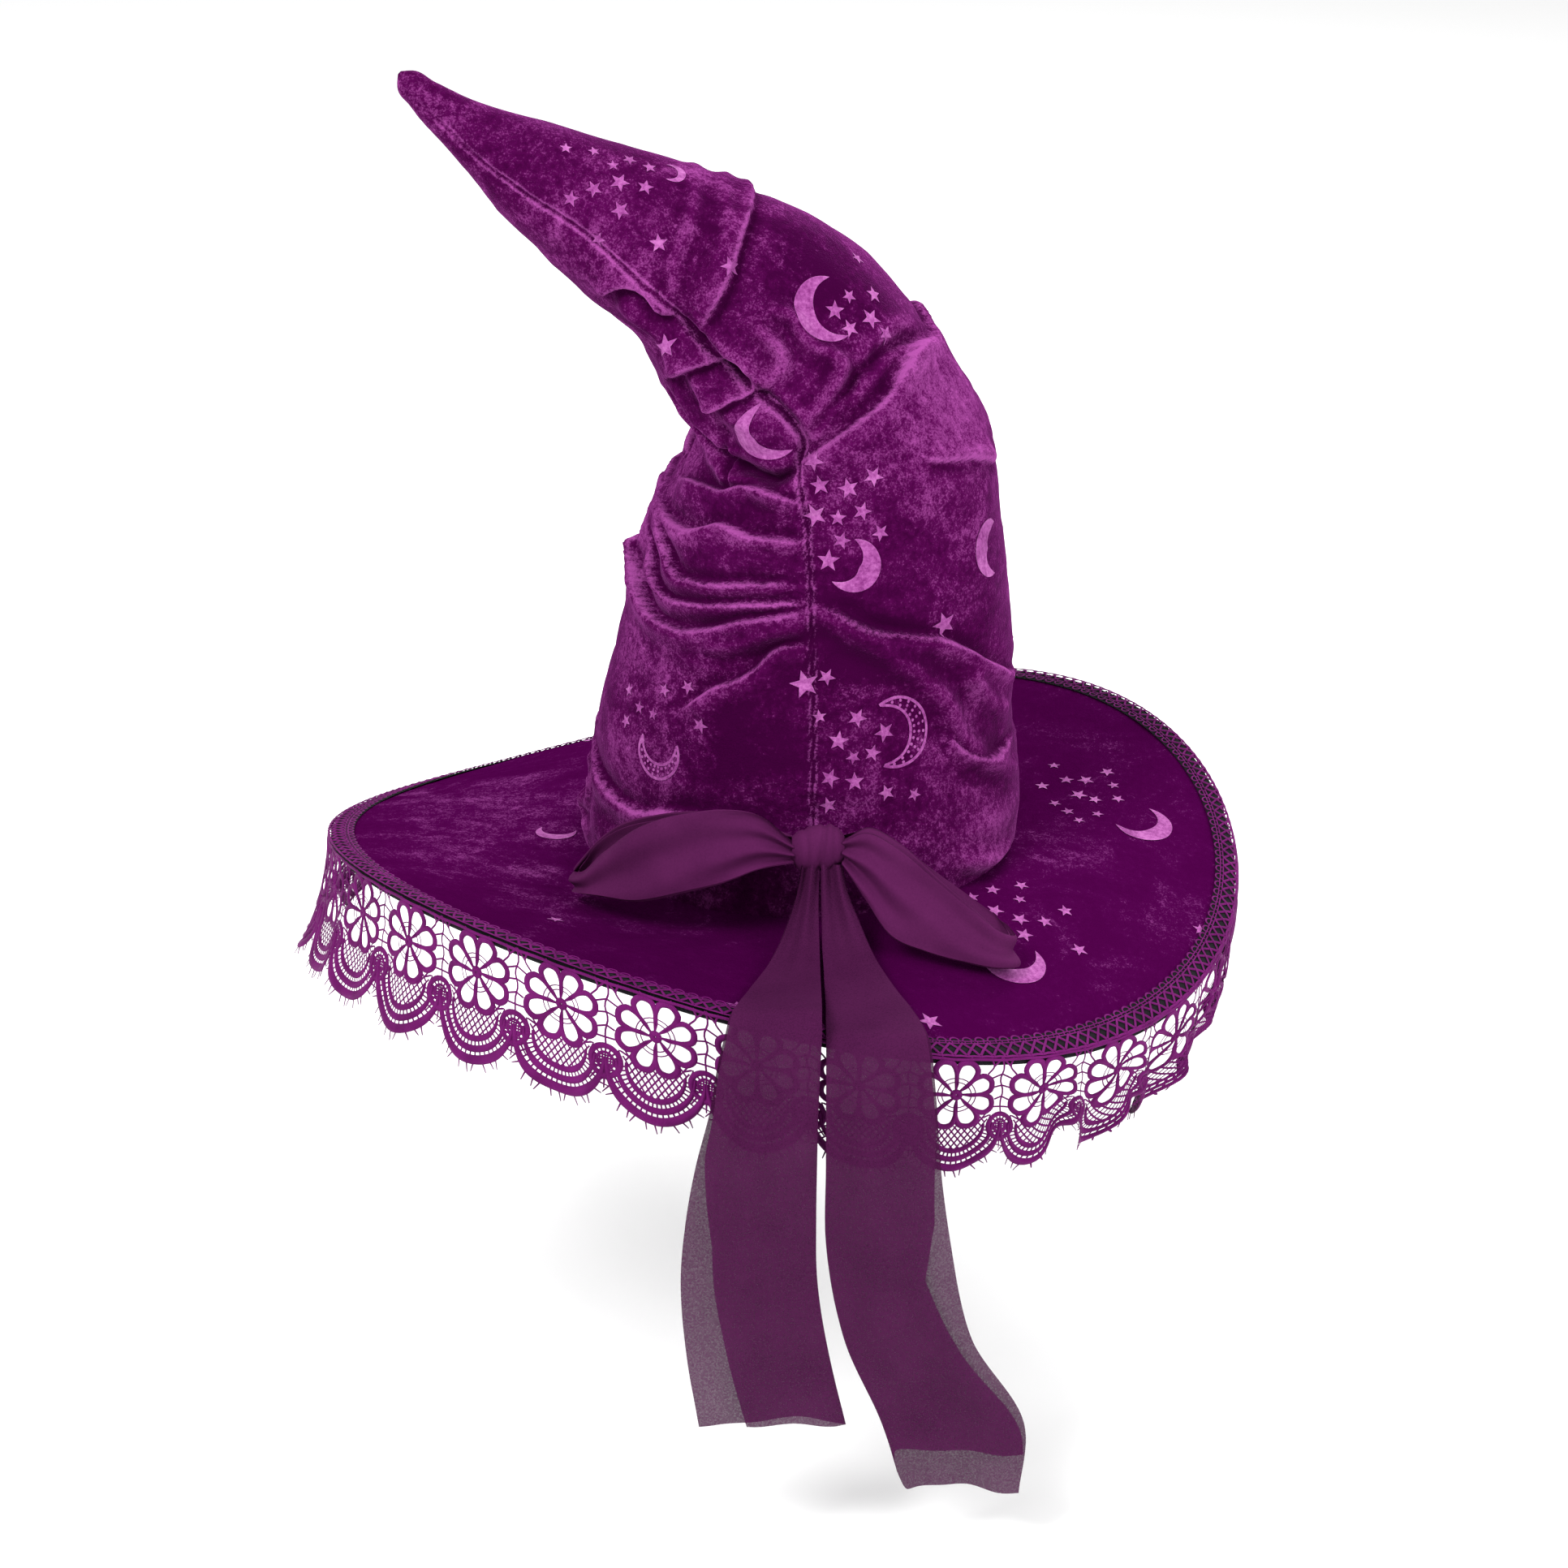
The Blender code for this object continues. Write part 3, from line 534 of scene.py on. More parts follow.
class Crown:
    """The crown's base surface, its folds and its finished points."""

    def __init__(self):
        table = smooth_table(CROWN_RINGS, CROWN_ROWS)
        self.angles = np.linspace(-math.pi, math.pi, CROWN_COLUMNS, endpoint=False)
        x, z, tilt, width, depth = (column[:, None] for column in table.T)
        tilt = np.radians(tilt)
        cos, sin = np.cos(self.angles)[None, :], np.sin(self.angles)[None, :]
        self.base = np.stack([x + width * cos * np.cos(tilt), depth * sin + 0 * x,
                              z + width * cos * np.sin(tilt)], -1)
        self.normal = grid_normals(self.base, True)
        centre = np.stack([table[:, 0], 0 * table[:, 0], table[:, 1]], -1)[:, None, :]
        if ((self.base - centre) * self.normal).sum() < 0:
            self.normal = -self.normal
        self.size = np.minimum(width, depth)
        height = self.relief()
        self.points = self.base + self.normal * height[..., None]
        # Painted light and shade for the velvet's colour: lighter on the relief's ridges, darker in its
        # creases.
        self.painted_light_and_shade = self.stand_out(height)
        # Spots of painted highlight, or painted shade where the strength is negative.
        for x, z, radius, amount in PAINTED_LIGHT_SPOTS:
            middle = self.base[self.find(x, z)]
            self.painted_light_and_shade += amount * np.exp(-((np.linalg.norm(self.base - middle,
                                                            axis=-1) / (radius / 100)) ** 2))

    def stand_out(self, height):
        """The relief less its average over about a centimetre, in millimetres, limited."""
        reach, spread = 12, 5.5
        soft = np.concatenate([height[:1].repeat(reach, 0), height, height[-1:].repeat(reach, 0)])
        kernel = np.exp(-((np.arange(-reach, reach + 1) / spread) ** 2))
        kernel /= kernel.sum()
        soft = sum(k * soft[i:i + len(height)] for i, k in enumerate(kernel))
        soft = sum(k * np.roll(soft, i - reach, 1) for i, k in enumerate(kernel))
        return np.clip((height - soft) * 1000, -1.2, 1.2)

    def find(self, x, z, side=-1):
        """The row and column of the base surface's front (side -1) or back at x and z in centimetres."""
        gap = (self.base[..., 0] - x / 100) ** 2 + (self.base[..., 2] - z / 100) ** 2
        gap = np.where((np.sign(self.base[..., 1]) == side), gap, 1.0)
        return np.unravel_index(np.argmin(gap), gap.shape)

    def line_on(self, points, side, count=60):
        """Base surface points along a curve drawn on the front or the back."""
        path = smooth_path(points, count)
        found = np.array([self.base[self.find(x, z, side)] for x, z in path])
        for _ in range(3):
            found[1:-1] = (found[:-2] + 2 * found[1:-1] + found[2:]) / 4
        return found

    def relief_of_line(self, line, reach):
        """For grid points near the line: row, column, signed side, way along its tangent, share of the line."""
        tree = kdtree.KDTree(len(line))
        for i, point in enumerate(line):
            tree.insert(Vector(point), i)
        tree.balance()
        low, high = line.min(0) - reach, line.max(0) + reach
        near = np.argwhere(((self.base > low) & (self.base < high)).all(-1))
        tangent = np.gradient(line, axis=0)
        tangent /= np.linalg.norm(tangent, axis=1, keepdims=True) + 1e-12
        found = []
        for r, c in near:
            point = self.base[r, c]
            _, i, distance = tree.find(Vector(point))
            if distance > reach:
                continue
            away = point - line[i]
            along = float(away @ tangent[i])
            side = float(np.cross(tangent[i], away) @ self.normal[r, c])
            found.append((r, c, side, along, i / (len(line) - 1)))
        return found

    def relief(self):
        """Height of the cloth over the base surface."""
        height = np.zeros(self.base.shape[:2])
        # Painted highlight lines along the fold lips and beside the seam, for the velvet's colour.
        self.edge = np.zeros(self.base.shape[:2])
        for side, scale, lift in ((-1, 1.0, 0.0), (1, 0.85, 0.6)):
            for kind, amount, width, points in FOLDS:
                shifted = [(x, z + lift * (1 if z < 20 else 0.2)) for x, z in points]
                line = self.line_on(shifted, side)
                turn = 1 if side < 0 else -1
                self.add_fold(height, kind, amount / 1000 * scale * FOLD_DEPTH, width / 1000, line, turn)
            for x, z, radius, amount in BULGES:
                middle = self.base[self.find(x, z + lift, side)]
                gap = np.linalg.norm(self.base - middle, axis=-1) / (radius / 100)
                height += amount / 1000 * scale * np.exp(-(gap**2) * 1.2)
        height += self.small_creases()
        seams = [self.line_on(FRONT_SEAM, -1, 400),
                 self.line_on([(0.3 * x, z) if z < 20 else (x, z) for x, z in FRONT_SEAM], 1, 400)]
        for line in seams:
            self.add_seam(height, line)
        fade = np.clip((self.size - 0.004) / 0.02, 0.0, 1.0)
        foot = np.clip(self.base[..., 2] / 0.006, 0.15, 1.0)
        return height * fade * foot

    def add_fold(self, height, kind, amount, width, line, turn):
        for r, c, side, along, share in self.relief_of_line(line, width * 2.2):
            side *= turn
            end = min(share, 1 - share)
            taper = min(1.0, 0.25 + end * 6.0) * (bell(along, 0.6 * width) if end < 0.01 else 1.0)
            if kind == "lip":
                peak = 0.26 * width
                if side > 0:
                    value = (side / peak) * math.exp(1 - side / peak) * 0.85
                    value += 0.30 * math.exp(-side / (0.9 * width))
                else:
                    value = -0.42 * bell(side, 0.45 * width) * min(1.0, -side / 0.0008 + 0.2)
            elif kind == "ridge":
                value = bell(side, 0.5 * width) - 0.35 * bell(abs(side) - width, 0.5 * width)
            else:
                value = -bell(side, 0.32 * width) + 0.35 * bell(abs(side) - 0.9 * width, 0.5 * width)
            height[r, c] += amount * taper * value
            # A painted highlight line just off each lip's edge.
            if kind == "lip":
                self.edge[r, c] = max(self.edge[r, c], taper * bell(side - 0.0011, 0.0009))

    def add_seam(self, height, line):
        for r, c, side, _, share in self.relief_of_line(line, 0.020):
            side = abs(side)
            pull = -0.0013 * bell(side, 0.0012) - 0.0006 * bell(side, 0.007)
            pucker = 0.00022 * math.sin(share * 410.0 + 3.0 * math.sin(share * 57.0)) * bell(side - 0.004,
                                                                                             0.005)
            height[r, c] += pull + pucker
            # A painted highlight line beside the seam.
            self.edge[r, c] = max(self.edge[r, c],
                                  0.9 * min(1.0, (1 - share) / 0.12) * bell(side - 0.0014, 0.0007))

    def small_creases(self):
        """Fine wrinkles: across the cone near the ruching, and round the narrow tip."""
        rows, columns = self.base.shape[:2]
        coarse = self.base[::4, ::4]
        drift = wave_noise(coarse, 0.060, 1.0)
        squeezed = coarse * np.array([0.35, 0.35, 1.6])
        crumple = wave_noise(squeezed, 0.013, 2.0, 3)
        lump = wave_noise(coarse, 0.024, 3.0, 2)
        gather = np.exp(-(((coarse[..., 2] - 0.165) / 0.060) ** 2)) * (0.35 + 0.65 * (coarse[..., 0] < 0.01))
        small = 0.0013 * drift + 0.0007 * lump + (0.0005 + 0.0016 * gather) * crumple
        r = np.linspace(0, small.shape[0] - 1.002, rows)[:, None] + np.zeros((1, columns))
        c = np.arange(columns)[None, :] / 4.0 + np.zeros((rows, 1))
        return bilinear(small[..., None], r, c, True)[..., 0]

    def mark(self, x, z, outline, side=-1, lift=0.0003):
        """Lays a flat figure, given as points in metres round its middle, on the finished cloth at x and z."""
        r, c = self.find(x, z, side)
        step = 3
        down = self.base[max(r - step, 0), c]
        up = self.base[min(r + step, CROWN_ROWS - 1), c]
        left = self.base[r, (c - step) % CROWN_COLUMNS]
        right = self.base[r, (c + step) % CROWN_COLUMNS]
        per_row = (up - down) / (2 * step)
        per_column = (right - left) / (2 * step)
        axes = np.stack([per_column, per_row], 1)
        normal = self.normal[r, c]
        flat_x = np.cross([0.0, 1.0, 0.0], normal) if abs(normal[1]) < 0.2 else np.array([1.0, 0.0, 0.0])
        flat_x = flat_x - normal * (flat_x @ normal)
        flat_x /= np.linalg.norm(flat_x)
        flat_z = np.cross(flat_x, normal)
        if flat_z[2] < 0:
            flat_z = -flat_z
        wanted = outline[:, :1] * flat_x + outline[:, 1:] * flat_z
        steps, *_ = np.linalg.lstsq(axes, wanted.T, rcond=None)
        column, row = steps
        points = bilinear(self.points, r + row, c + column, True)
        normals = bilinear(self.cloth_normal, r + row, c + column, True)
        return points + normals * lift


crown = Crown()
crown.cloth_normal = grid_normals(crown.points, True)
if (crown.cloth_normal * crown.normal).sum() < 0:
    crown.cloth_normal = -crown.cloth_normal
    crown_flip = True
else:
    crown_flip = False

crown_cover = grid_object("crown_velvet", crown.points, VELVET, wrap=True, flip=crown_flip)
# The velvet's painted light and shade, and its painted highlight lines.
set_painted_light(crown_cover, "painted_light_and_shade", crown.painted_light_and_shade)
set_painted_light(crown_cover, "edge", crown.edge)
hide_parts("crown_velvet_left", "crown_velvet_right", "tip_velvet_over", "tip_velvet_under")


def star_outline(radius, turn):
    """A five-point star as rings of points from its middle to its edge, with the faces between them."""
    corners = []
    for i in range(10):
        reach = radius if i % 2 == 0 else radius * 0.42
        angle = turn + math.pi / 2 + i * math.pi / 5
        corners.append((reach * math.cos(angle), reach * math.sin(angle)))
    corners = np.array(corners)
    edge = np.concatenate([[a + (b - a) * t for t in (0.0, 1 / 3, 2 / 3)] for a,
                           b in zip(corners, np.roll(corners, -1, 0))])
    points = [np.zeros((1, 2))] + [edge * share for share in (0.33, 0.67, 1.0)]
    count = len(edge)
    faces = [(0, 1 + i, 1 + (i + 1) % count) for i in range(count)]
    for ring in (0, 1):
        start = 1 + ring * count
        faces += [(start + i, start + count + i, start + count + (i + 1) % count,
                   start + (i + 1) % count) for i in range(count)]
    return np.concatenate(points), faces


def moon_outline(radius, turn, fat=0.60, columns=6, rows=28):
    """A crescent as a strip of points between its outer and its inner arc."""
    reach = math.radians(118)
    points = []
    for i in range(rows + 1):
        angle = -reach + 2 * reach * i / rows
        share = math.cos(angle / reach * math.pi / 2) ** 0.8
        for j in range(columns + 1):
            r = radius * (1 - fat * share * j / columns) if share > 0 else radius
            points.append((r * math.cos(angle + turn), r * math.sin(angle + turn)))
    faces = []
    for i in range(rows):
        for j in range(columns):
            a = i * (columns + 1) + j
            faces.append((a, a + 1, a + columns + 2, a + columns + 1))
    return np.array(points), faces


# Moons on the crown: x, z in centimetres, radius in millimetres, the way the crescent's back faces in
# degrees, how far the crescent is hollowed.
CROWN_MOONS = ((1.2, 26.6, 15, 198, 0.62), (-1.3, 21.5, 13, 212, 0.78), (2.4, 15.9, 12, -25, 0.80),
               (8.5, 15.1, 13, 180, 0.90),
               (-5.5, 31.7, 6, 0, 0.60))
# Moons drawn as two lines with dots between them.
DOTTED_MOONS = ((4.3, 8.3, 16, 5), (-6.3, 6.6, 12, 262))


def dotted_moon(radius, turn, fat=0.55):
    """The outer line, the inner line and the dots of a crescent."""
    reach = math.radians(118)
    line = 0.0007
    shares = np.linspace(-1.0, 1.0, 41)
    deep = 1 - fat * np.cos(shares * math.pi / 2) ** 0.8
    strips = []
    for scale in (np.ones(41), deep):
        points = []
        for share, r in zip(shares, scale):
            angle = reach * share + turn
            points += [((radius * r + step) * math.cos(angle),
                        (radius * r + step) * math.sin(angle)) for step in (-line, line)]
        strips.append((np.array(points), [(2 * i, 2 * i + 1, 2 * i + 3, 2 * i + 2) for i in range(40)]))
    for i in range(3, 38, 3):
        count = int(max(1, round((1 - deep[i]) * radius / 0.0026)))
        for j in range(count):
            r = radius * (1 - (1 - deep[i]) * (j + 0.7) / (count + 0.4))
            angle = reach * shares[i] + turn
            middle = np.array([r * math.cos(angle), r * math.sin(angle)])
            ring = [middle + 0.00075 * np.array([math.cos(a), math.sin(a)]) for a in np.linspace(0, math.tau,
                                                                                                 9)[:-1]]
            strips.append((np.array([middle] + ring), [(0, 1 + k, 1 + (k + 1) % 8) for k in range(8)]))
    return strips


def join_figures(name, parts, material):
    points, faces = [], []
    total = 0
    for figure, figure_faces in parts:
        points.append(figure)
        faces += [tuple(i + total for i in face) for face in figure_faces]
        total += len(figure)
    return mesh_object(name, np.concatenate(points), faces, material)


figures = []
for index, (x, z, radius) in enumerate(CROWN_STARS):
    outline, faces = star_outline(radius * 1.42 / 1000, 0.5 * math.sin(index * 2.3))
    figures.append((crown.mark(x, z, outline), faces))
for x, z, radius, turn, fat in CROWN_MOONS:
    outline, faces = moon_outline(radius / 1000, math.radians(turn), fat)
    figures.append((crown.mark(x, z, outline), faces))
for x, z, radius, turn in DOTTED_MOONS:
    for outline, faces in dotted_moon(radius / 1000, math.radians(turn)):
        figures.append((crown.mark(x, z, outline), faces))
crown_marks = join_figures("crown_stars_and_moons", figures, PRESSED)

for item in (crown_cover, crown_marks):
    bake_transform(item)


def cone_ring(height, inset):
    """Centre, half width and half depth of the crown's inside at a height."""
    table = np.array(CROWN_RINGS)[:, [0, 1, 3, 4]]
    x, width, depth = (np.interp(height, table[:, 1], table[:, k]) for k in (0, 2, 3))
    return x, width - inset, depth - inset


def padding_depth(height):
    """How far inside the pattern surface the padding starts: further in above the foot, under the folds."""
    return 0.0042 + 0.0043 * np.clip((height - 0.03) / 0.02, 0.0, 1.0)


CAVITY_FOOT, CAVITY_TOP = 0.0120, 0.1095


def padding():
    """The stuffing under the crown's velvet: a shell round the head space, solid above it."""
    rows, columns = 90, 96
    pick_r = np.linspace(14, CROWN_ROWS - 5, rows)[:, None] + np.zeros((1, columns))
    pick_c = np.arange(columns)[None, :] * (CROWN_COLUMNS / columns) + np.zeros((rows, 1))
    outer = bilinear(crown.base, pick_r, pick_c, True)
    inward = bilinear(crown.normal, pick_r, pick_c, True)
    sizes = np.broadcast_to(crown.size[..., None], (CROWN_ROWS, CROWN_COLUMNS, 1))
    room = np.clip(bilinear(sizes, pick_r, pick_c, True) * 0.5, 0.0005, padding_depth(outer[..., 2:]))
    skin = outer - inward * room
    x, width, depth = cone_ring(skin[0, :, 2], 0.0)
    angle = np.arctan2(skin[0, :, 1] / depth, (skin[0, :, 0] - x) / width)
    cavity = []
    roof = [(CAVITY_TOP, share) for share in (0.0, 0.3, 0.6, 0.85)]
    wall = [(height, 1.0) for height in np.linspace(CAVITY_TOP, CAVITY_FOOT, 30)]
    for height, share in roof + wall:
        x, width, depth = cone_ring(height, padding_depth(height) + 0.0008)
        cavity.append(np.stack([x + share * width * np.cos(angle), share * depth * np.sin(angle),
                                height + 0 * angle], -1))
    return np.concatenate([np.array(cavity), skin])


stuffing = grid_object("crown_padding", padding(), PALE_FOAM, wrap=True, flip=crown_flip)
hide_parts("crown_foam_left", "crown_foam_right", "tip_stuffing")
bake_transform(stuffing)

# ---------------------------------------------------------------- brim


def edge_wave(angle):
    steady, c1, s1, c2, s2, c3, s3 = BRIM_WAVE
    return (steady + c1 * np.cos(angle) + s1 * np.sin(angle) + c2 * np.cos(2 * angle) + s2 * np.sin(2 * angle)
            + c3 * np.cos(3 * angle) + s3 * np.sin(3 * angle))


def lay_on_brim(radius, angle, height):
    """Points at a radius, angle and height over the flat pattern, bent with the brim's wave."""
    out = np.clip((radius - BRIM_FLAT) / (BRIM_RADIUS - BRIM_FLAT), 0.0, None)
    x = radius * np.cos(angle) + BRIM_SHIFT_X * out
    y = radius * np.sin(angle) + 0 * out
    return np.stack([x, y, height + edge_wave(angle) * out**BRIM_BEND], -1)


def brim_bumps(radius, angle):
    """Slight unevenness of the velvet stretched over the brim, nothing at its edges."""
    flat = np.stack([radius * np.cos(angle), radius * np.sin(angle), 0 * radius], -1)
    soft = wave_noise(flat, 0.045, 5.0, 2) * 0.0009 + wave_noise(flat, 0.012, 6.0, 2) * 0.00035
    inside = np.clip((radius - 0.101) / 0.012, 0, 1) * np.clip((BRIM_RADIUS - 0.006 - radius) / 0.01, 0, 1)
    return soft * inside


def swept_ring(name, section, material, columns=BRIM_COLUMNS, bumps=None, flip=False):
    """A surface swept round the brim from a section of (radius, height) points."""
    angle = np.linspace(0, math.tau, columns, endpoint=False)[None, :]
    radius = np.array([r for r, _ in section])[:, None] + 0 * angle
    height = np.array([h for _, h in section])[:, None] + 0 * angle
    if bumps is not None:
        height = height + bumps(radius, angle + 0 * radius)
    return grid_object(name, lay_on_brim(radius, angle, height), material, wrap=True, flip=flip)


# Painted highlights on the brim's velvet: x, y, half width and half depth in centimetres, strength.
BRIM_PAINTED_HIGHLIGHTS = ((-14.5, 1.5, 5.0, 6.0, 2.8), (-12.0, -6.0, 4.5, 2.5, 1.4), (-9.0, -11.5, 4.0, 1.6, 1.2),
              (13.5, -3.5, 3.5, 2.0, 0.9),
              (15.5, 7.5, 3.0, 2.5, 0.7), (4.0, -14.5, 5.0, 1.4, 0.5), (0.0, 16.0, 9.0, 4.0, 1.6))
top_radii = np.linspace(BRIM_HOLE, BRIM_RADIUS - 0.0006, 110)
brim_top = swept_ring("brim_velvet", [(r, 0.0) for r in top_radii], BRIM_VELVET_LOOK, bumps=brim_bumps,
                      flip=True)
under_radii = np.linspace(BRIM_HOLE, BRIM_RADIUS - 0.0006, 60)
brim_under = swept_ring("brim_underside", [(r, -0.0052) for r in under_radii], BLACK_CLOTH,
                        bumps=lambda radius, angle: 0.3 * brim_bumps(radius, angle))
round_brim = np.linspace(0, math.tau, BRIM_COLUMNS, endpoint=False)[None, :]
brim_x, brim_y, _ = np.moveaxis(lay_on_brim(top_radii[:, None], round_brim, 0.0), -1, 0)
# Painted light and shade on the brim's velvet: painted shade overall, darkest round the bow's foot, with
# painted highlight spots.
brim_painted_light = -0.6 - 1.0 * np.exp(-(((brim_x - 0.02) / 0.10) ** 2 + ((brim_y + 0.13) / 0.05) ** 2))
for x, y, wide, deep, amount in BRIM_PAINTED_HIGHLIGHTS:
    sideways, forward = (brim_x - x / 100) / (wide / 100), (brim_y - y / 100) / (deep / 100)
    brim_painted_light += amount * np.exp(-(sideways**2) - forward**2)
# Streaks of painted highlight, strongest where the brim is already painted lighter.
painted_highlight_streaks = wave_noise(np.stack([brim_x * 0.30, brim_y * 2.4, 0 * brim_x], -1), 0.016, 9.0, 3)
brim_painted_light += painted_highlight_streaks * np.clip(brim_painted_light + 1.0, 0.15, 1.6)
set_painted_light(brim_top, "painted_light_and_shade", brim_painted_light)
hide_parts("brim_top_velvet")
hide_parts("brim_under_cover")
edge = BRIM_RADIUS
binding_section = [(edge - 0.0095, 0.0006), (edge - 0.0040, 0.0009), (edge - 0.0008, 0.0008),
                   (edge + 0.0004, -0.0004),
                   (edge + 0.0006, -0.0024), (edge + 0.0004, -0.0044), (edge - 0.0008, -0.0054),
                   (edge - 0.0040, -0.0056),
                   (edge - 0.0095, -0.0053)]
binding = swept_ring("brim_binding", smooth_path(binding_section, 22), BLACK_CLOTH, flip=True)
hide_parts("brim_edge_binding")

# Stars on the brim: x and y in centimetres on the flat pattern, radius in millimetres.
BRIM_STARS = (
    (11.9, 3.9, 3.4), (12.4, 2.1, 3.0), (13.2, 4.6, 3.6), (13.7, 3.1, 4.2), (13.0, 1.3, 3.2), (14.2, 4.6, 4.0),
    (14.5, 2.7, 3.2), (14.5, 1.2, 3.0), (15.4, 5.5, 3.6), (15.6, 4.2, 3.0), (15.7, 2.9, 3.2), (12.7, 6.1, 3.0),
    (13.5, 0.4, 2.8), (8.9, -7.3, 3.4), (10.3, -6.6, 3.4), (7.9, -8.1, 3.4), (10.2, -7.8, 3.0),
    (9.0, -9.0, 4.0),
    (10.2, -9.4, 4.0), (11.4, -9.2, 3.4), (12.4, -8.1, 3.4), (9.3, -11.0, 3.8), (10.4, -10.5, 3.8),
    (13.0, -10.7, 3.8),
    (19.1, -6.8, 3.4), (6.2, -18.1, 5.0), (-2.0, -20.1, 4.5), (-7.0, 15.6, 3.8), (-5.4, 16.4, 3.4),
    (-4.0, 15.2, 3.8), (-6.0, 14.2, 3.2),
    (-2.4, 16.6, 3.4), (8.0, 14.6, 3.8), (9.4, 13.4, 3.4), (10.6, 14.6, 3.4), (9.0, 16.0, 3.2),
    (-10.4, -12.6, 3.4),
)
# Moons on the brim: x, y in centimetres, radius in millimetres, the way the crescent's back faces in degrees.
BRIM_MOONS = ((16.8, 0.8, 15, -45), (9.9, -12.6, 15, -70), (-11.4, -1.3, 9, 255), (-9.2, 14.6, 14, 100),
              (6.4, 15.4, 14, 60))


def mark_brim(x, y, outline):
    """Lays a flat figure on the brim's velvet."""
    flat_x, flat_y = x / 100 + outline[:, 0], y / 100 + outline[:, 1]
    radius, angle = np.hypot(flat_x, flat_y), np.arctan2(flat_y, flat_x)
    return lay_on_brim(radius, angle, brim_bumps(radius, angle) + 0.00035)


figures = []
for index, (x, y, radius) in enumerate(BRIM_STARS):
    outline, faces = star_outline(radius * 1.15 / 1000, 0.6 * math.sin(index * 1.7))
    figures.append((mark_brim(x, y, outline), faces))
for x, y, radius, turn in BRIM_MOONS:
    outline, faces = moon_outline(radius / 1000, math.radians(turn), 0.62)
    figures.append((mark_brim(x, y, outline), faces))
brim_marks = join_figures("brim_stars_and_moons", figures, PRESSED)
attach(brim_marks, "hat")


# ---------------------------------------------------------------- lace


class Strands:
    """Threads and satin cords of a lace, drawn flat: u along the edge, v down, w out of the lace."""

    def __init__(self):
        self.points, self.faces, self.along = [], [], []
        self.total = 0

    def strand(self, path, width, closed=False, count=24, thick=0.35, taper=0.0, lift=0.0, widths=None):
        path = np.array(path, float)
        if closed:
            path = np.concatenate([path, path[:1]])
        path = smooth_path(path, count + 1)
        if closed:
            path = path[:-1]
            tangent = np.roll(path, -1, 0) - np.roll(path, 1, 0)
        else:
            tangent = np.gradient(path, axis=0)
        tangent /= np.linalg.norm(tangent, axis=1, keepdims=True) + 1e-12
        across = np.stack([-tangent[:, 1], tangent[:, 0]], 1)
        wide = width > 1.0
        shares = (-0.5, -0.3, 0.0, 0.3, 0.5) if wide else (-0.5, 0.0, 0.5)
        heights = (0.0, 0.75, 1.0, 0.75, 0.0) if wide else (0.0, 1.0, 0.0)
        n, m = len(path), len(shares)
        size = width * (1 - taper * np.linspace(0, 1, n))
        if widths:
            size = np.interp(np.linspace(0, 1, n), np.linspace(0, 1, len(widths)), widths)
        length = np.concatenate([[0.0], np.cumsum(np.linalg.norm(np.diff(path, axis=0), axis=1))])
        for share, up in zip(shares, heights):
            flat = path + across * (share * size)[:, None]
            self.points.append(np.column_stack([flat, np.full(n, lift + up * width * thick)]))
            self.along.append(length)
        for j in range(m - 1):
            for i in range(n if closed else n - 1):
                k = (i + 1) % n
                a, b = self.total + j * n, self.total + (j + 1) * n
                self.faces.append((a + i, b + i, b + k, a + k))
        self.total += n * m

    def arrays(self):
        return np.concatenate(self.points), np.array(self.faces), np.concatenate(self.along)


def repeated(strands, step, count):
    """The flat drawing repeated along u."""
    points, faces, along = strands.arrays()
    tiles = [points + np.array([i * step, 0.0, 0.0]) for i in range(count)]
    shifts = [faces + i * len(points) for i in range(count)]
    return np.concatenate(tiles), np.concatenate(shifts), np.tile(along, count)


def arc(centre, radius, start, end, count=16, squash_v=1.0):
    angles = np.radians(np.linspace(start, end, count))
    return [(centre[0] + radius * math.cos(a), centre[1] + radius * math.sin(a) * squash_v) for a in angles]


LACE_REPEATS = 31
LACE_STEP = math.tau * BRIM_RADIUS * 1000 / LACE_REPEATS
LACE_DEPTH = 0.060


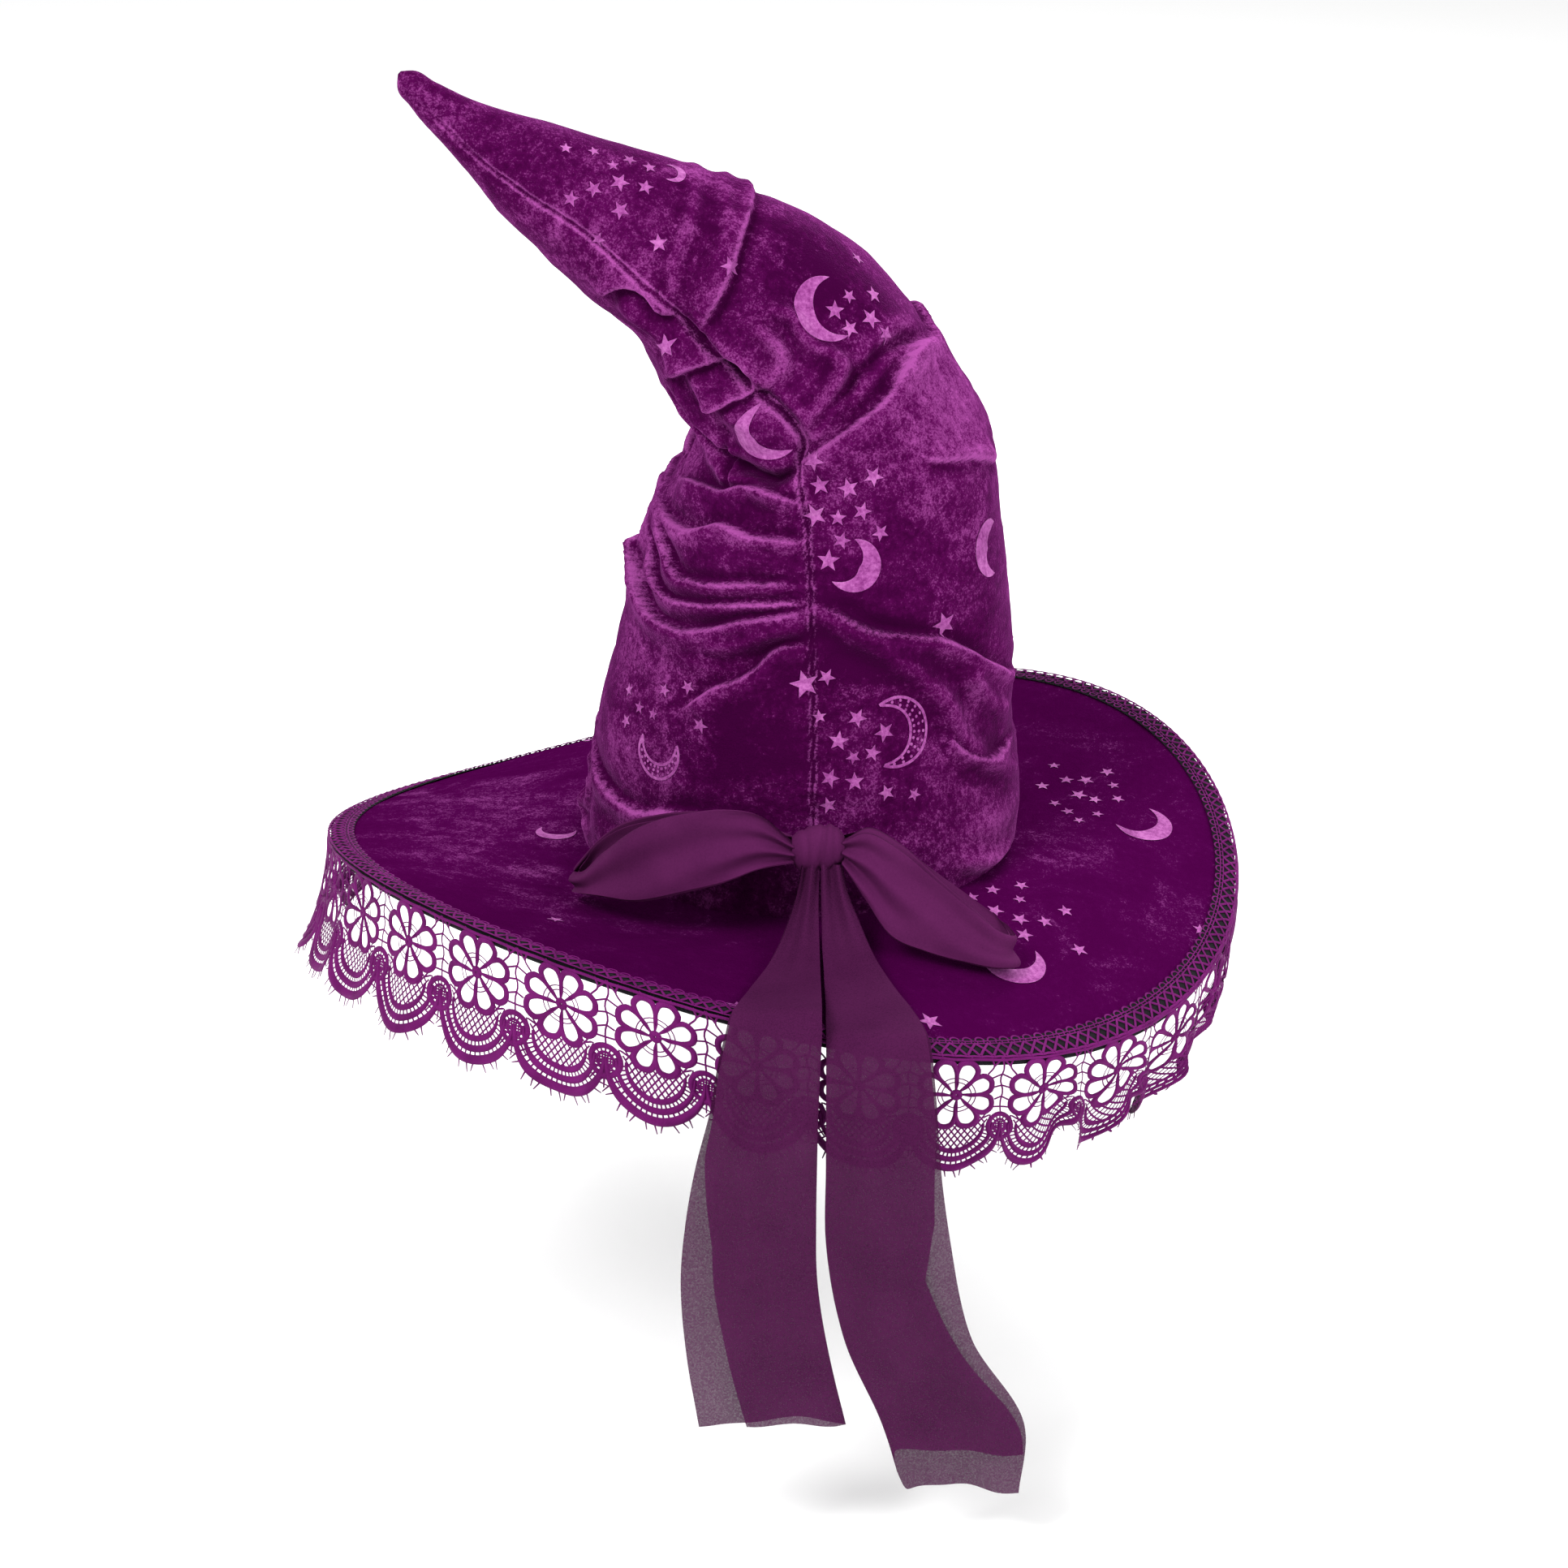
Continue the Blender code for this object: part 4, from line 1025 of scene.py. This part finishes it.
def lace_pattern():
    """One repeat of the lace in millimetres: a flower, a scallop below it and a rosette at its left edge."""
    s = Strands()
    half = LACE_STEP / 2
    flower = (0.0, -18.5)
    for k in range(8):
        turn = math.radians(22.5 + 45 * k)
        c, si = math.cos(turn), math.sin(turn)
        loop = [(1.6, -0.4), (6.0, -2.0), (11.0, -4.3), (15.2, -4.2), (17.6, 0.0), (15.2, 4.2), (11.0, 4.3),
                (6.0, 1.9), (1.6, 0.4)]
        loop = [(flower[0] + x * c - y * si, flower[1] + x * si + y * c) for x, y in loop]
        s.strand(loop, 2.6, closed=True, count=32, thick=0.30,
                 widths=(0.9, 1.0, 2.2, 2.9, 2.9, 2.9, 2.2, 1.0, 0.9))
    for radius in (6.6, 8.6):
        s.strand(arc(flower, radius, 0, 348, 24), 0.55, closed=True, count=30, lift=0.2)
    s.strand(arc(flower, 1.5, 0, 330, 12), 2.8, closed=True, count=14, thick=0.3)
    for side in (-1, 1):
        s.strand([(side * 4.5, -1.6), (side * 7.2, 0.6)], 0.9, count=4)
        s.strand([(side * 14.5, -8.0), (side * 17.5, -4.0), (side * 16.0, 0.6)], 0.9, count=7)
        s.strand([(side * 17.5, -4.0), (side * half, 0.6)], 0.9, count=4)
        s.strand([(side * 16.0, -10.5), (side * half, -8.0)], 0.9, count=4)
        s.strand([(side * 17.5, -15.0), (side * half, -14.0)], 0.9, count=4)
        s.strand([(side * 17.8, -21.5), (side * half, -20.0)], 0.9, count=4)
        s.strand([(side * 16.5, -25.5), (side * half, -25.5)], 0.9, count=4)
        s.strand([(side * 11.5, -31.5), (side * 16.0, -30.0), (side * (half - 6.5), -32.5)], 0.9, count=5)
    s.strand([(-half, 0.6), (-half + 0.8, -5.0), (-half - 0.8, -11.0), (-half + 0.6, -17.0),
              (-half - 0.4, -23.0), (-half, -28.5)], 0.9, count=14)
    s.strand([(-half, -0.6), (-half / 2, -0.2), (0.0, -0.6), (half / 2, -0.2), (half, -0.6)], 1.5, count=16)
    scallop = (0.0, -34.5)
    deep = 1.05
    for radius, width in ((12.7, 2.7), (16.8, 3.0), (21.2, 4.0)):
        ends = (1.2, width * 0.7, width, width, width, width, width * 0.7, 1.2)
        s.strand(arc(scallop, radius, 178, 362, 22, deep), width, count=40, thick=0.28, widths=ends)
    for angle in np.arange(188, 354, 7.2):
        a = math.radians(angle)
        inner, outer = 12.6, 21.0
        s.strand([(inner * math.cos(a), scallop[1] + inner * math.sin(a) * deep),
                  (outer * math.cos(a), scallop[1] + outer * math.sin(a) * deep)], 0.8, count=3)
    for index, angle in enumerate(np.arange(190, 352, 10.0)):
        a = math.radians(angle)
        lean = math.radians(angle + (3.5 if index % 3 else -3.0))
        inner, outer = 21.6, 26.4 - 0.6 * (index % 2)
        s.strand([(inner * math.cos(a), scallop[1] + inner * math.sin(a) * deep),
                  (outer * math.cos(lean), scallop[1] + outer * math.sin(lean) * deep)], 0.9, count=3,
                  taper=0.5)
    for start in np.arange(-26.0, 27.0, 2.9):
        for lean in (-1, 1):
            line = [(start + lean * t * 0.72, -27.5 - t) for t in np.linspace(0, 20.0, 15)]
            inside = [p for p in line if math.hypot(p[0], (p[1] - scallop[1]) / deep) < 12.8
                      and math.hypot(p[0] - flower[0], p[1] - flower[1]) > 15.5]
            inside += [p for p in line if p not in inside and p[1] > scallop[1] and abs(p[0]) < 14.5
                       and math.hypot(p[0] - flower[0], p[1] - flower[1]) > 16.5]
            inside.sort(key=lambda p: -p[1])
            if len(inside) >= 3:
                s.strand(inside, 0.80, count=len(inside) - 1)
    rosette = (-half, -36.0)
    s.strand(arc(rosette, 6.6, 0, 345, 20), 2.6, closed=True, count=26, thick=0.3)
    s.strand(arc(rosette, 3.7, 0, 345, 16), 1.3, closed=True, count=18, thick=0.3)
    for k in range(16):
        a = math.radians(22.5 * k)
        s.strand([(rosette[0] + 3.4 * math.cos(a), rosette[1] + 3.4 * math.sin(a)),
                  (rosette[0] + 7.4 * math.cos(a), rosette[1] + 7.4 * math.sin(a))], 0.9, count=3)
    for k in (-2.4, -1.2, 0.0, 1.2, 2.4):
        reach = math.sqrt(3.6**2 - k**2)
        s.strand([(rosette[0] - reach, rosette[1] + k), (rosette[0] + reach, rosette[1] + k)], 0.8, count=4)
        s.strand([(rosette[0] + k, rosette[1] - reach), (rosette[0] + k, rosette[1] + reach)], 0.8, count=4,
                 lift=0.2)
    for k in (-2, -1, 0, 1, 2):
        a = math.radians(270 + 17 * k)
        s.strand([(rosette[0] + 7.6 * math.cos(a), rosette[1] + 7.6 * math.sin(a)),
                  (rosette[0] + 12.0 * math.cos(a), rosette[1] + 12.0 * math.sin(a))], 1.0, count=3, taper=0.4)
    return s


def hang_lace(flat):
    """Flat lace points in millimetres hung from the brim's edge."""
    u, v, w = flat[:, 0] / 1000, flat[:, 1] / 1000, flat[:, 2] / 1000
    angle = u / BRIM_RADIUS
    drop = np.clip(-v, 0.0, None) / LACE_DEPTH
    crumple = np.exp(-(((np.cos(angle + math.radians(38)) - 1) / 0.10) ** 2))
    wave = 0.0016 * np.sin(angle * 23 + 1.3) + 0.0012 * np.sin(angle * 41)
    wave = wave + crumple * (0.0060 * np.sin(angle * 31) + 0.0035 * np.sin(angle * 57 + v * 60))
    lean = 0.0020 - 0.0140 * np.cos(angle)
    radius = BRIM_RADIUS + 0.0018 + lean * drop**2 + wave * drop + w
    x = radius * np.cos(angle) + BRIM_SHIFT_X
    y = radius * np.sin(angle)
    lift = crumple * 0.010 * drop * (1 + np.sin(angle * 31))
    return np.stack([x, y, v + edge_wave(angle) + lift - 0.0010], -1)


def strand_object(name, points, faces, along, material):
    item = mesh_object(name, points, faces, material)
    attribute = item.data.attributes.new("along", "FLOAT", "POINT")
    attribute.data.foreach_set("value", along.astype(np.float32))
    return item


flat, faces, along = repeated(lace_pattern(), LACE_STEP, LACE_REPEATS)
lace = strand_object("lace_edging", hang_lace(flat), faces, along, LACE_THREAD)
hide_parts("lace_skirt")


def heading_pattern(step):
    """One repeat of the narrow braid: u along the edge, v inwards over the brim from the edge."""
    s = Strands()
    s.strand([(0.0, -0.4), (step / 2, -0.1), (step, -0.4)], 1.1, count=4)
    s.strand([(0.0, 6.6), (step / 2, 6.8), (step, 6.6)], 0.65, count=4)
    s.strand([(0.0, 8.3), (step / 2, 8.1), (step, 8.3)], 0.60, count=4)
    for rise in (-1, 1):
        low, high = (0.0, 6.6) if rise > 0 else (6.6, 0.0)
        s.strand([(0.0, low), (0.5 * step, 3.3), (step, high)], 1.15, count=5, lift=0.25 if rise > 0 else 0.0)
    s.strand([(step * 0.15, 8.2), (step * 0.20, 9.6), (step / 2, 10.5), (step * 0.8, 9.6), (step * 0.85, 8.2)],
             0.8, count=8)
    for share in (0.25, 0.75):
        s.strand([(step * share, 6.6), (step * share, 8.2)], 0.6, count=2)
    return s


HEADING_REPEATS = 216
heading_step = math.tau * BRIM_RADIUS * 1000 / HEADING_REPEATS
flat, faces, along = repeated(heading_pattern(heading_step), heading_step, HEADING_REPEATS)
angle = flat[:, 0] / 1000 / BRIM_RADIUS
around = flat[:, 1] / 1000
bend = np.clip((0.0024 - around) / 0.0024, 0.0, 1.0)
radius = BRIM_RADIUS + 0.0012 - around
heading = strand_object("lace_heading", lay_on_brim(radius, angle, 0.0014 + flat[:, 2] / 1000 - 0.0010 * bend),
                        faces, along, LACE_THREAD)
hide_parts("lace_heading_braid")

for item, slot_name in ((brim_top, "plum_velvet"), (brim_under, "black_cloth"), (binding, "black_cloth"),
                        (lace, "purple_lace"), (heading, "purple_lace")):
    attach(item, "hat")


# ---------------------------------------------------------------- bow

# Each loop as rows of its top and bottom edge (x, y, z in centimetres): out along its front and back.
LOOP_LEFT = (
    (-0.3, -11.9, 4.6, -0.3, -12.1, 3.7), (-1.9, -12.2, 6.1, -1.9, -12.6, 3.6),
    (-3.3, -12.3, 6.4, -3.4, -12.9, 3.1),
    (-4.7, -12.1, 6.15, -4.9, -12.9, 2.7), (-6.9, -11.3, 5.1, -7.0, -12.2, 1.9),
    (-8.8, -10.2, 3.2, -8.8, -11.0, 1.5),
    (-9.8, -9.6, 2.0, -9.7, -10.2, 1.2), (-10.15, -9.1, 1.9, -10.1, -9.3, 0.9),
    (-9.6, -8.9, 2.6, -9.7, -8.9, 0.8),
    (-8.3, -9.2, 4.0, -8.4, -9.4, 1.2), (-6.3, -10.0, 5.0, -6.4, -10.3, 1.9),
    (-4.2, -10.9, 5.5, -4.2, -11.2, 2.6),
    (-2.0, -11.2, 5.2, -2.0, -11.6, 3.3), (-0.3, -11.1, 4.5, -0.3, -11.4, 3.7),
)
LOOP_RIGHT = (
    (1.95, -11.9, 4.7, 1.95, -12.2, 3.6), (3.0, -12.0, 5.3, 2.9, -13.0, 2.4),
    (4.5, -12.2, 4.6, 4.0, -13.7, 1.0),
    (6.2, -12.6, 3.1, 5.6, -14.0, 0.3), (7.8, -12.9, 1.7, 7.3, -14.1, -0.2),
    (8.9, -13.1, 0.75, 8.8, -14.2, -0.5),
    (9.35, -12.8, 0.5, 9.5, -13.7, -0.7), (9.0, -12.2, 0.8, 9.3, -13.0, -0.6),
    (7.8, -11.9, 1.7, 7.8, -12.6, -0.1),
    (6.0, -11.6, 3.0, 5.8, -12.6, 0.5), (4.3, -11.3, 4.2, 4.0, -12.4, 1.5), (3.0, -11.2, 4.8, 2.9, -12.0, 2.7),
    (1.95, -11.2, 4.6, 1.95, -11.5, 3.6),
)
# Each tail's course: y, z, left edge x and right edge x, in centimetres.
TAIL_LEFT = (
    (-12.2, 3.6, 0.1, 0.9), (-12.7, 2.6, -0.1, 0.85), (-13.6, 1.5, -0.5, 0.85), (-14.8, 0.85, -0.95, 0.88),
    (-16.0, 0.62, -1.35, 0.9), (-17.6, 0.68, -1.85, 0.92), (-19.2, 0.85, -2.3, 0.94), (-20.8, 1.12, -2.7, 0.95),
    (-21.75, 1.15, -2.95, 0.95), (-22.3, 0.65, -3.1, 0.95), (-22.7, -0.6, -3.4, 0.9), (-23.05, -3.0, -3.8, 0.8),
    (-23.3, -5.4, -4.4, 0.75), (-23.4, -8.0, -4.85, 0.72), (-23.4, -10.6, -5.1, 0.75),
    (-23.35, -14.8, -4.9, 1.3),
    (-23.35, -18.3, -4.4, 2.05),
)
TAIL_RIGHT = (
    (-12.2, 3.6, 0.95, 1.9), (-12.7, 2.5, 0.95, 2.15), (-13.6, 1.4, 0.98, 2.7), (-14.8, 0.7, 1.0, 3.2),
    (-16.0, 0.42, 1.05, 3.65), (-17.6, 0.30, 1.08, 4.2), (-19.2, 0.22, 1.12, 4.8), (-20.8, 0.15, 1.12, 5.3),
    (-21.75, 0.05, 1.12, 5.5), (-22.3, -0.45, 1.12, 5.6), (-22.7, -1.4, 1.12, 5.7), (-23.05, -3.2, 1.12, 5.85),
    (-23.3, -5.4, 1.12, 6.0), (-23.4, -9.0, 1.12, 6.45), (-23.4, -14.0, 1.95, 7.5), (-23.35, -18.5, 3.7, 9.9),
    (-23.35, -21.9, 4.6, 9.7),
)


def loop_surface(rows, root, seed):
    """The points of a bow's loop, folded lengthwise into four layers and pleated where the knot gathers it."""
    rows = smooth_path(np.array(rows) / 100, 150)
    columns = 128
    c = np.linspace(0.0, 1.0, columns)[None, :]
    s = np.interp(c, (0.0, 0.25, 0.5, 0.75, 1.0), (0.0, 1.0, -0.05, 0.93, -0.02))
    top, bottom = rows[:, None, :3], rows[:, None, 3:]
    points = bottom + (top - bottom) * s[..., None]
    flat = bottom + (top - bottom) * np.linspace(0.0, 1.0, columns)[None, :, None]
    normal = grid_normals(flat, False)
    normal = normal[:, columns // 2 - 1:columns // 2 + 1].mean(1, keepdims=True)
    normal /= np.linalg.norm(normal, axis=-1, keepdims=True)
    away = np.linalg.norm(points.mean(1) - np.array(root), axis=1)[:, None]
    pleat = 0.0019 * np.cos(math.tau * (2.6 * s + 0.15 * seed)) * np.exp(-((away / 0.030) ** 2))
    pleat = pleat + 0.0013 * np.cos(math.tau * (1.4 * s + 0.3 * seed + away * 9.0)) * np.clip(away / 0.03, 0, 1)
    layer = 0.0017 * np.cos(c * math.pi) * np.clip(away / 0.02, 0.3, 1)
    fine = wave_noise(points, 0.016, seed, 2) * 0.0005
    return points + normal * (pleat + fine + layer)[..., None]


def tail_surface(course, fold_right, free_edge, front_end, back_end, open_at_end, seed):
    """The points of a tail folded lengthwise: its front layer, the fold at one edge, its back layer."""
    table = smooth_path(np.array(course) / 100, 260)
    length = np.concatenate([[0.0], np.cumsum(np.linalg.norm(np.diff(table[:, :2], axis=0), axis=1))])
    total = length[-1]
    columns, rows = 90, 230
    c = np.linspace(0.0, 1.0, columns)[None, :]
    t = np.linspace(0.0, 1.0, rows)[:, None]
    end = np.where(c < 0.5, front_end, back_end) * (1 - np.exp(-(((c - 0.5) / 0.05) ** 2)))
    end = end + 0.5 * (front_end + back_end) * np.exp(-(((c - 0.5) / 0.05) ** 2))
    at = t * end * total
    y, z, left, right = (np.interp(at, length, table[:, k]) for k in range(4))
    away = at / total
    edge_share = np.interp(away, [a for a, _ in free_edge], [b for _, b in free_edge])
    front = edge_share + (1 - edge_share) * np.sin(np.clip(c / 0.5, 0, 1) * math.pi / 2)
    back = np.sin(np.clip((1 - c) / 0.5, 0, 1) * math.pi / 2)
    across = np.where(c < 0.5, front, back)
    x = np.where(fold_right, left + (right - left) * across, right - (right - left) * across)
    dy, dz = np.gradient(table[:, 0], length), np.gradient(table[:, 1], length)
    ny, nz = np.interp(at, length, dz), np.interp(at, length, -dy)
    size = np.hypot(ny, nz)
    ny, nz = ny / size, nz / size
    gathered = np.exp(-((at / 0.045) ** 2))
    hanging = np.clip((away - 0.30) / 0.15, 0, 1)
    opening = np.clip((away - 0.86) / 0.12, 0, 1) ** 2 * open_at_end * np.sin(across * math.pi * 0.5) ** 2
    layer = np.cos(c * math.pi)
    gap = (0.0007 + 0.0012 * hanging + opening) * layer
    pleats = 0.0016 * gathered * np.cos(math.tau * (1.6 * across + seed))
    drape = 0.0022 * np.cos(math.tau * (0.85 * across + 0.20 * seed + 0.9 * away))
    drape = (drape + 0.0010 * np.cos(math.tau * (2.1 * across + seed))) * hanging
    on_brim = 0.0005 * np.cos(math.tau * (1.3 * across + seed)) * (1 - hanging)
    raised = gap + pleats + drape + on_brim
    points = np.stack([x, y + ny * raised, z + nz * raised], -1)
    return points + (wave_noise(points, 0.030, seed + 3, 2) * 0.0008)[..., None] * np.array([0.0, 1.0, 0.2])


def knot_surface():
    """The points of the wrapped knot, creased along the way the ribbon goes round it."""
    columns, rows = 72, 48
    round_angle = np.linspace(0, math.tau, columns, endpoint=False)[None, :]
    across = np.linspace(-1.0, 1.0, rows)[:, None]
    swell = (1 - np.abs(across) ** 3.2 * 0.50)
    crease = -0.0013 * np.exp(-(((across - 0.12 - 0.15 * np.sin(round_angle)) / 0.12) ** 2))
    crease = crease - 0.0007 * np.exp(-(((across + 0.50 + 0.10 * np.cos(round_angle)) / 0.10) ** 2))
    crease = crease - 0.0006 * np.exp(-(((across - 0.62) / 0.09) ** 2))
    x = 0.0083 + 0.0116 * across + 0 * round_angle
    y = -0.1165 + (0.0080 * swell + crease) * np.cos(round_angle)
    z = 0.0410 + 0.0010 * np.sin(across * 3) + (0.0112 * swell + crease) * np.sin(round_angle)
    return np.stack([x, y, z], -1)


loop_left = grid_object("bow_loop_left_ribbon", loop_surface(LOOP_LEFT, (-0.004, -0.115, 0.039), 1.0),
                        CHIFFON_KNOT)
loop_right = grid_object("bow_loop_right_ribbon", loop_surface(LOOP_RIGHT, (0.0206, -0.115, 0.037), 2.0),
                         CHIFFON_KNOT)
knot = grid_object("bow_knot_wrap", knot_surface(), CHIFFON_KNOT, wrap=True)
tail_left = grid_object("bow_tail_left_ribbon", tail_surface(
    TAIL_LEFT, True, ((0.0, 0.05), (0.45, 0.02), (0.56, 0.05), (0.70, 0.22), (0.85, 0.28), (1.0, 0.33)),
    0.995, 1.0, 0.0045, 0.1), CHIFFON)
tail_right = grid_object("bow_tail_right_ribbon", tail_surface(
    TAIL_RIGHT, False, ((0.0, 0.05), (0.45, 0.02), (0.58, 0.10), (0.66, 0.24), (0.76, 0.12), (0.90, 0.03),
                        (1.0, 0.0)),
    0.93, 1.0, 0.0060, 0.6), CHIFFON)
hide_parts("bow_loop_left")
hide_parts("bow_loop_right")
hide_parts("bow_knot")
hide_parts("tail_left_on_brim", "tail_left_hanging")
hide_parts("tail_right_on_brim", "tail_right_hanging")
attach(knot, "hat")
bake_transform(loop_left)
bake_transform(loop_right)
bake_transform(tail_left)
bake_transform(tail_right)

# ---------------------------------------------------------------- inside of the head opening


def lining_surface():
    """The lining cap: up the inside of the crown, then gathered across the top."""
    angle = np.linspace(0, math.tau, 180, endpoint=False)
    rows = []
    for height in np.linspace(0.0115, 0.1020, 44):
        x, width, depth = cone_ring(height, padding_depth(height) + 0.0024)
        ripple = 0.0005 * np.sin(angle * 9 + height * 40) + 0.0003 * np.sin(angle * 17 - height * 90)
        rows.append(np.stack([x + (width + ripple) * np.cos(angle), (depth + ripple) * np.sin(angle),
                              height + 0 * angle], -1))
    x, width, depth = cone_ring(0.1060, padding_depth(0.1060) + 0.0030)
    for share in np.linspace(0.985, 0.02, 30):
        gather = 0.0016 * np.cos(angle * 22) * share * (1 - share) * 2
        rise = 0.1080 - 0.0035 * share**4 + gather
        rows.append(np.stack([x + width * share * np.cos(angle), depth * share * np.sin(angle), rise], -1))
    return np.array(rows)


def band_surface(low, high, inset, wall):
    """A closed band inside the crown's foot: its outer side, then its inner side."""
    angle = np.linspace(0, math.tau, 240, endpoint=False)
    rows = []
    outside = [(height, 0.0) for height in np.linspace(low, high, 9)]
    inside = [(height, wall) for height in np.linspace(high, low, 9)]
    for height, extra in outside + inside + [(low, 0.0)]:
        x, width, depth = cone_ring(max(height, 0.0), inset + extra)
        rows.append(np.stack([x + width * np.cos(angle), depth * np.sin(angle), height + 0 * angle], -1))
    return np.array(rows)


lining = grid_object("crown_lining_cap", lining_surface(), BLACK_CLOTH, wrap=True, flip=True)
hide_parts("crown_lining")
band = grid_object("sweatband_ribbon", band_surface(-0.0048, 0.0298, 0.0062, 0.0015), GROSGRAIN, wrap=True)
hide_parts("sweatband")
for item in (lining, band):
    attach(item, "hat")


def elastic_surface():
    """The flat elastic that gathers the velvet, sewn along the back of the front seam."""
    rows = []
    for height in np.linspace(6.0, 15.4, 90):
        spot = crown.find(0.6, height)
        middle = crown.base[spot] - crown.normal[spot] * (0.0040 + 0.0003 * math.sin(height * 14))
        rows.append([middle + np.array([side, 0.0, 0.0]) for side in np.linspace(-0.005, 0.005, 7)])
    return np.array(rows)


elastic = grid_object("front_seam_elastic_tape", elastic_surface(), GROSGRAIN)
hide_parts("front_seam_elastic")
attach(elastic, "hat")

# ---------------------------------------------------------------- pieces kept from the frame

for name, look in (("crown_seam_tape", BLACK_CLOTH), ("brim_stiffener", PALE_FOAM),
                   ("brim_edge_wire", WIRE)):
    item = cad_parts[name]
    item.data.materials.clear()
    item.data.materials.append(look)

# ---------------------------------------------------------------- stage


def stage():
    floor_level = float(cad_low[2]) - 0.03
    bpy.ops.mesh.primitive_plane_add(size=12.0, location=(0.0, 0.0, floor_level))
    floor = bpy.context.object
    floor.name = "studio_floor"
    n = Nodes("pale_floor")
    n.set(Base_Color=(0.93, 0.93, 0.93), Roughness=0.9, Specular_IOR_Level=0.1, Emission_Color=(1.0, 1.0, 1.0),
          Emission_Strength=0.10)
    floor.data.materials.append(n.material)
    world = bpy.data.worlds.new("soft_white")
    world.use_nodes = True
    world.node_tree.nodes["Background"].inputs["Color"].default_value = (1.0, 1.0, 1.0, 1.0)
    world.node_tree.nodes["Background"].inputs["Strength"].default_value = 0.80
    bpy.context.scene.world = world


def area_light(name, place, target, size, power):
    data = bpy.data.lights.new(name, "AREA")
    data.size = size
    data.energy = power
    item = bpy.data.objects.new(name, data)
    item.location = place
    item.rotation_mode = "QUATERNION"
    item.rotation_quaternion = (Vector(target) - Vector(place)).to_track_quat("-Z", "Y")
    bpy.context.scene.collection.objects.link(item)


# How far the lens is shifted sideways and up, in sensor widths.
CAMERA_SHIFT = (-0.0098344, 0.0238095)


def camera():
    data = bpy.data.cameras.new("camera")
    data.lens = 85.0
    data.sensor_width = 36.0
    data.shift_x, data.shift_y = CAMERA_SHIFT
    elevation = math.radians(25.0)
    distance = 1.757
    item = bpy.data.objects.new("camera", data)
    back = Vector((0.0, -math.cos(elevation), math.sin(elevation)))
    item.location = back * distance
    item.rotation_mode = "QUATERNION"
    item.rotation_quaternion = (-back).to_track_quat("-Z", "Y")
    bpy.context.scene.collection.objects.link(item)
    bpy.context.scene.camera = item


stage()
area_light("key", (-1.1, -1.2, 1.9), (0.0, 0.0, 0.1), 0.8, 44.0)
area_light("fill", (1.5, -1.0, 0.9), (0.0, 0.0, 0.1), 1.0, 18.0)
area_light("rim", (0.6, 1.5, 1.5), (0.0, 0.0, 0.15), 1.0, 34.0)
camera()
bpy.context.scene.view_settings.view_transform = "Standard"
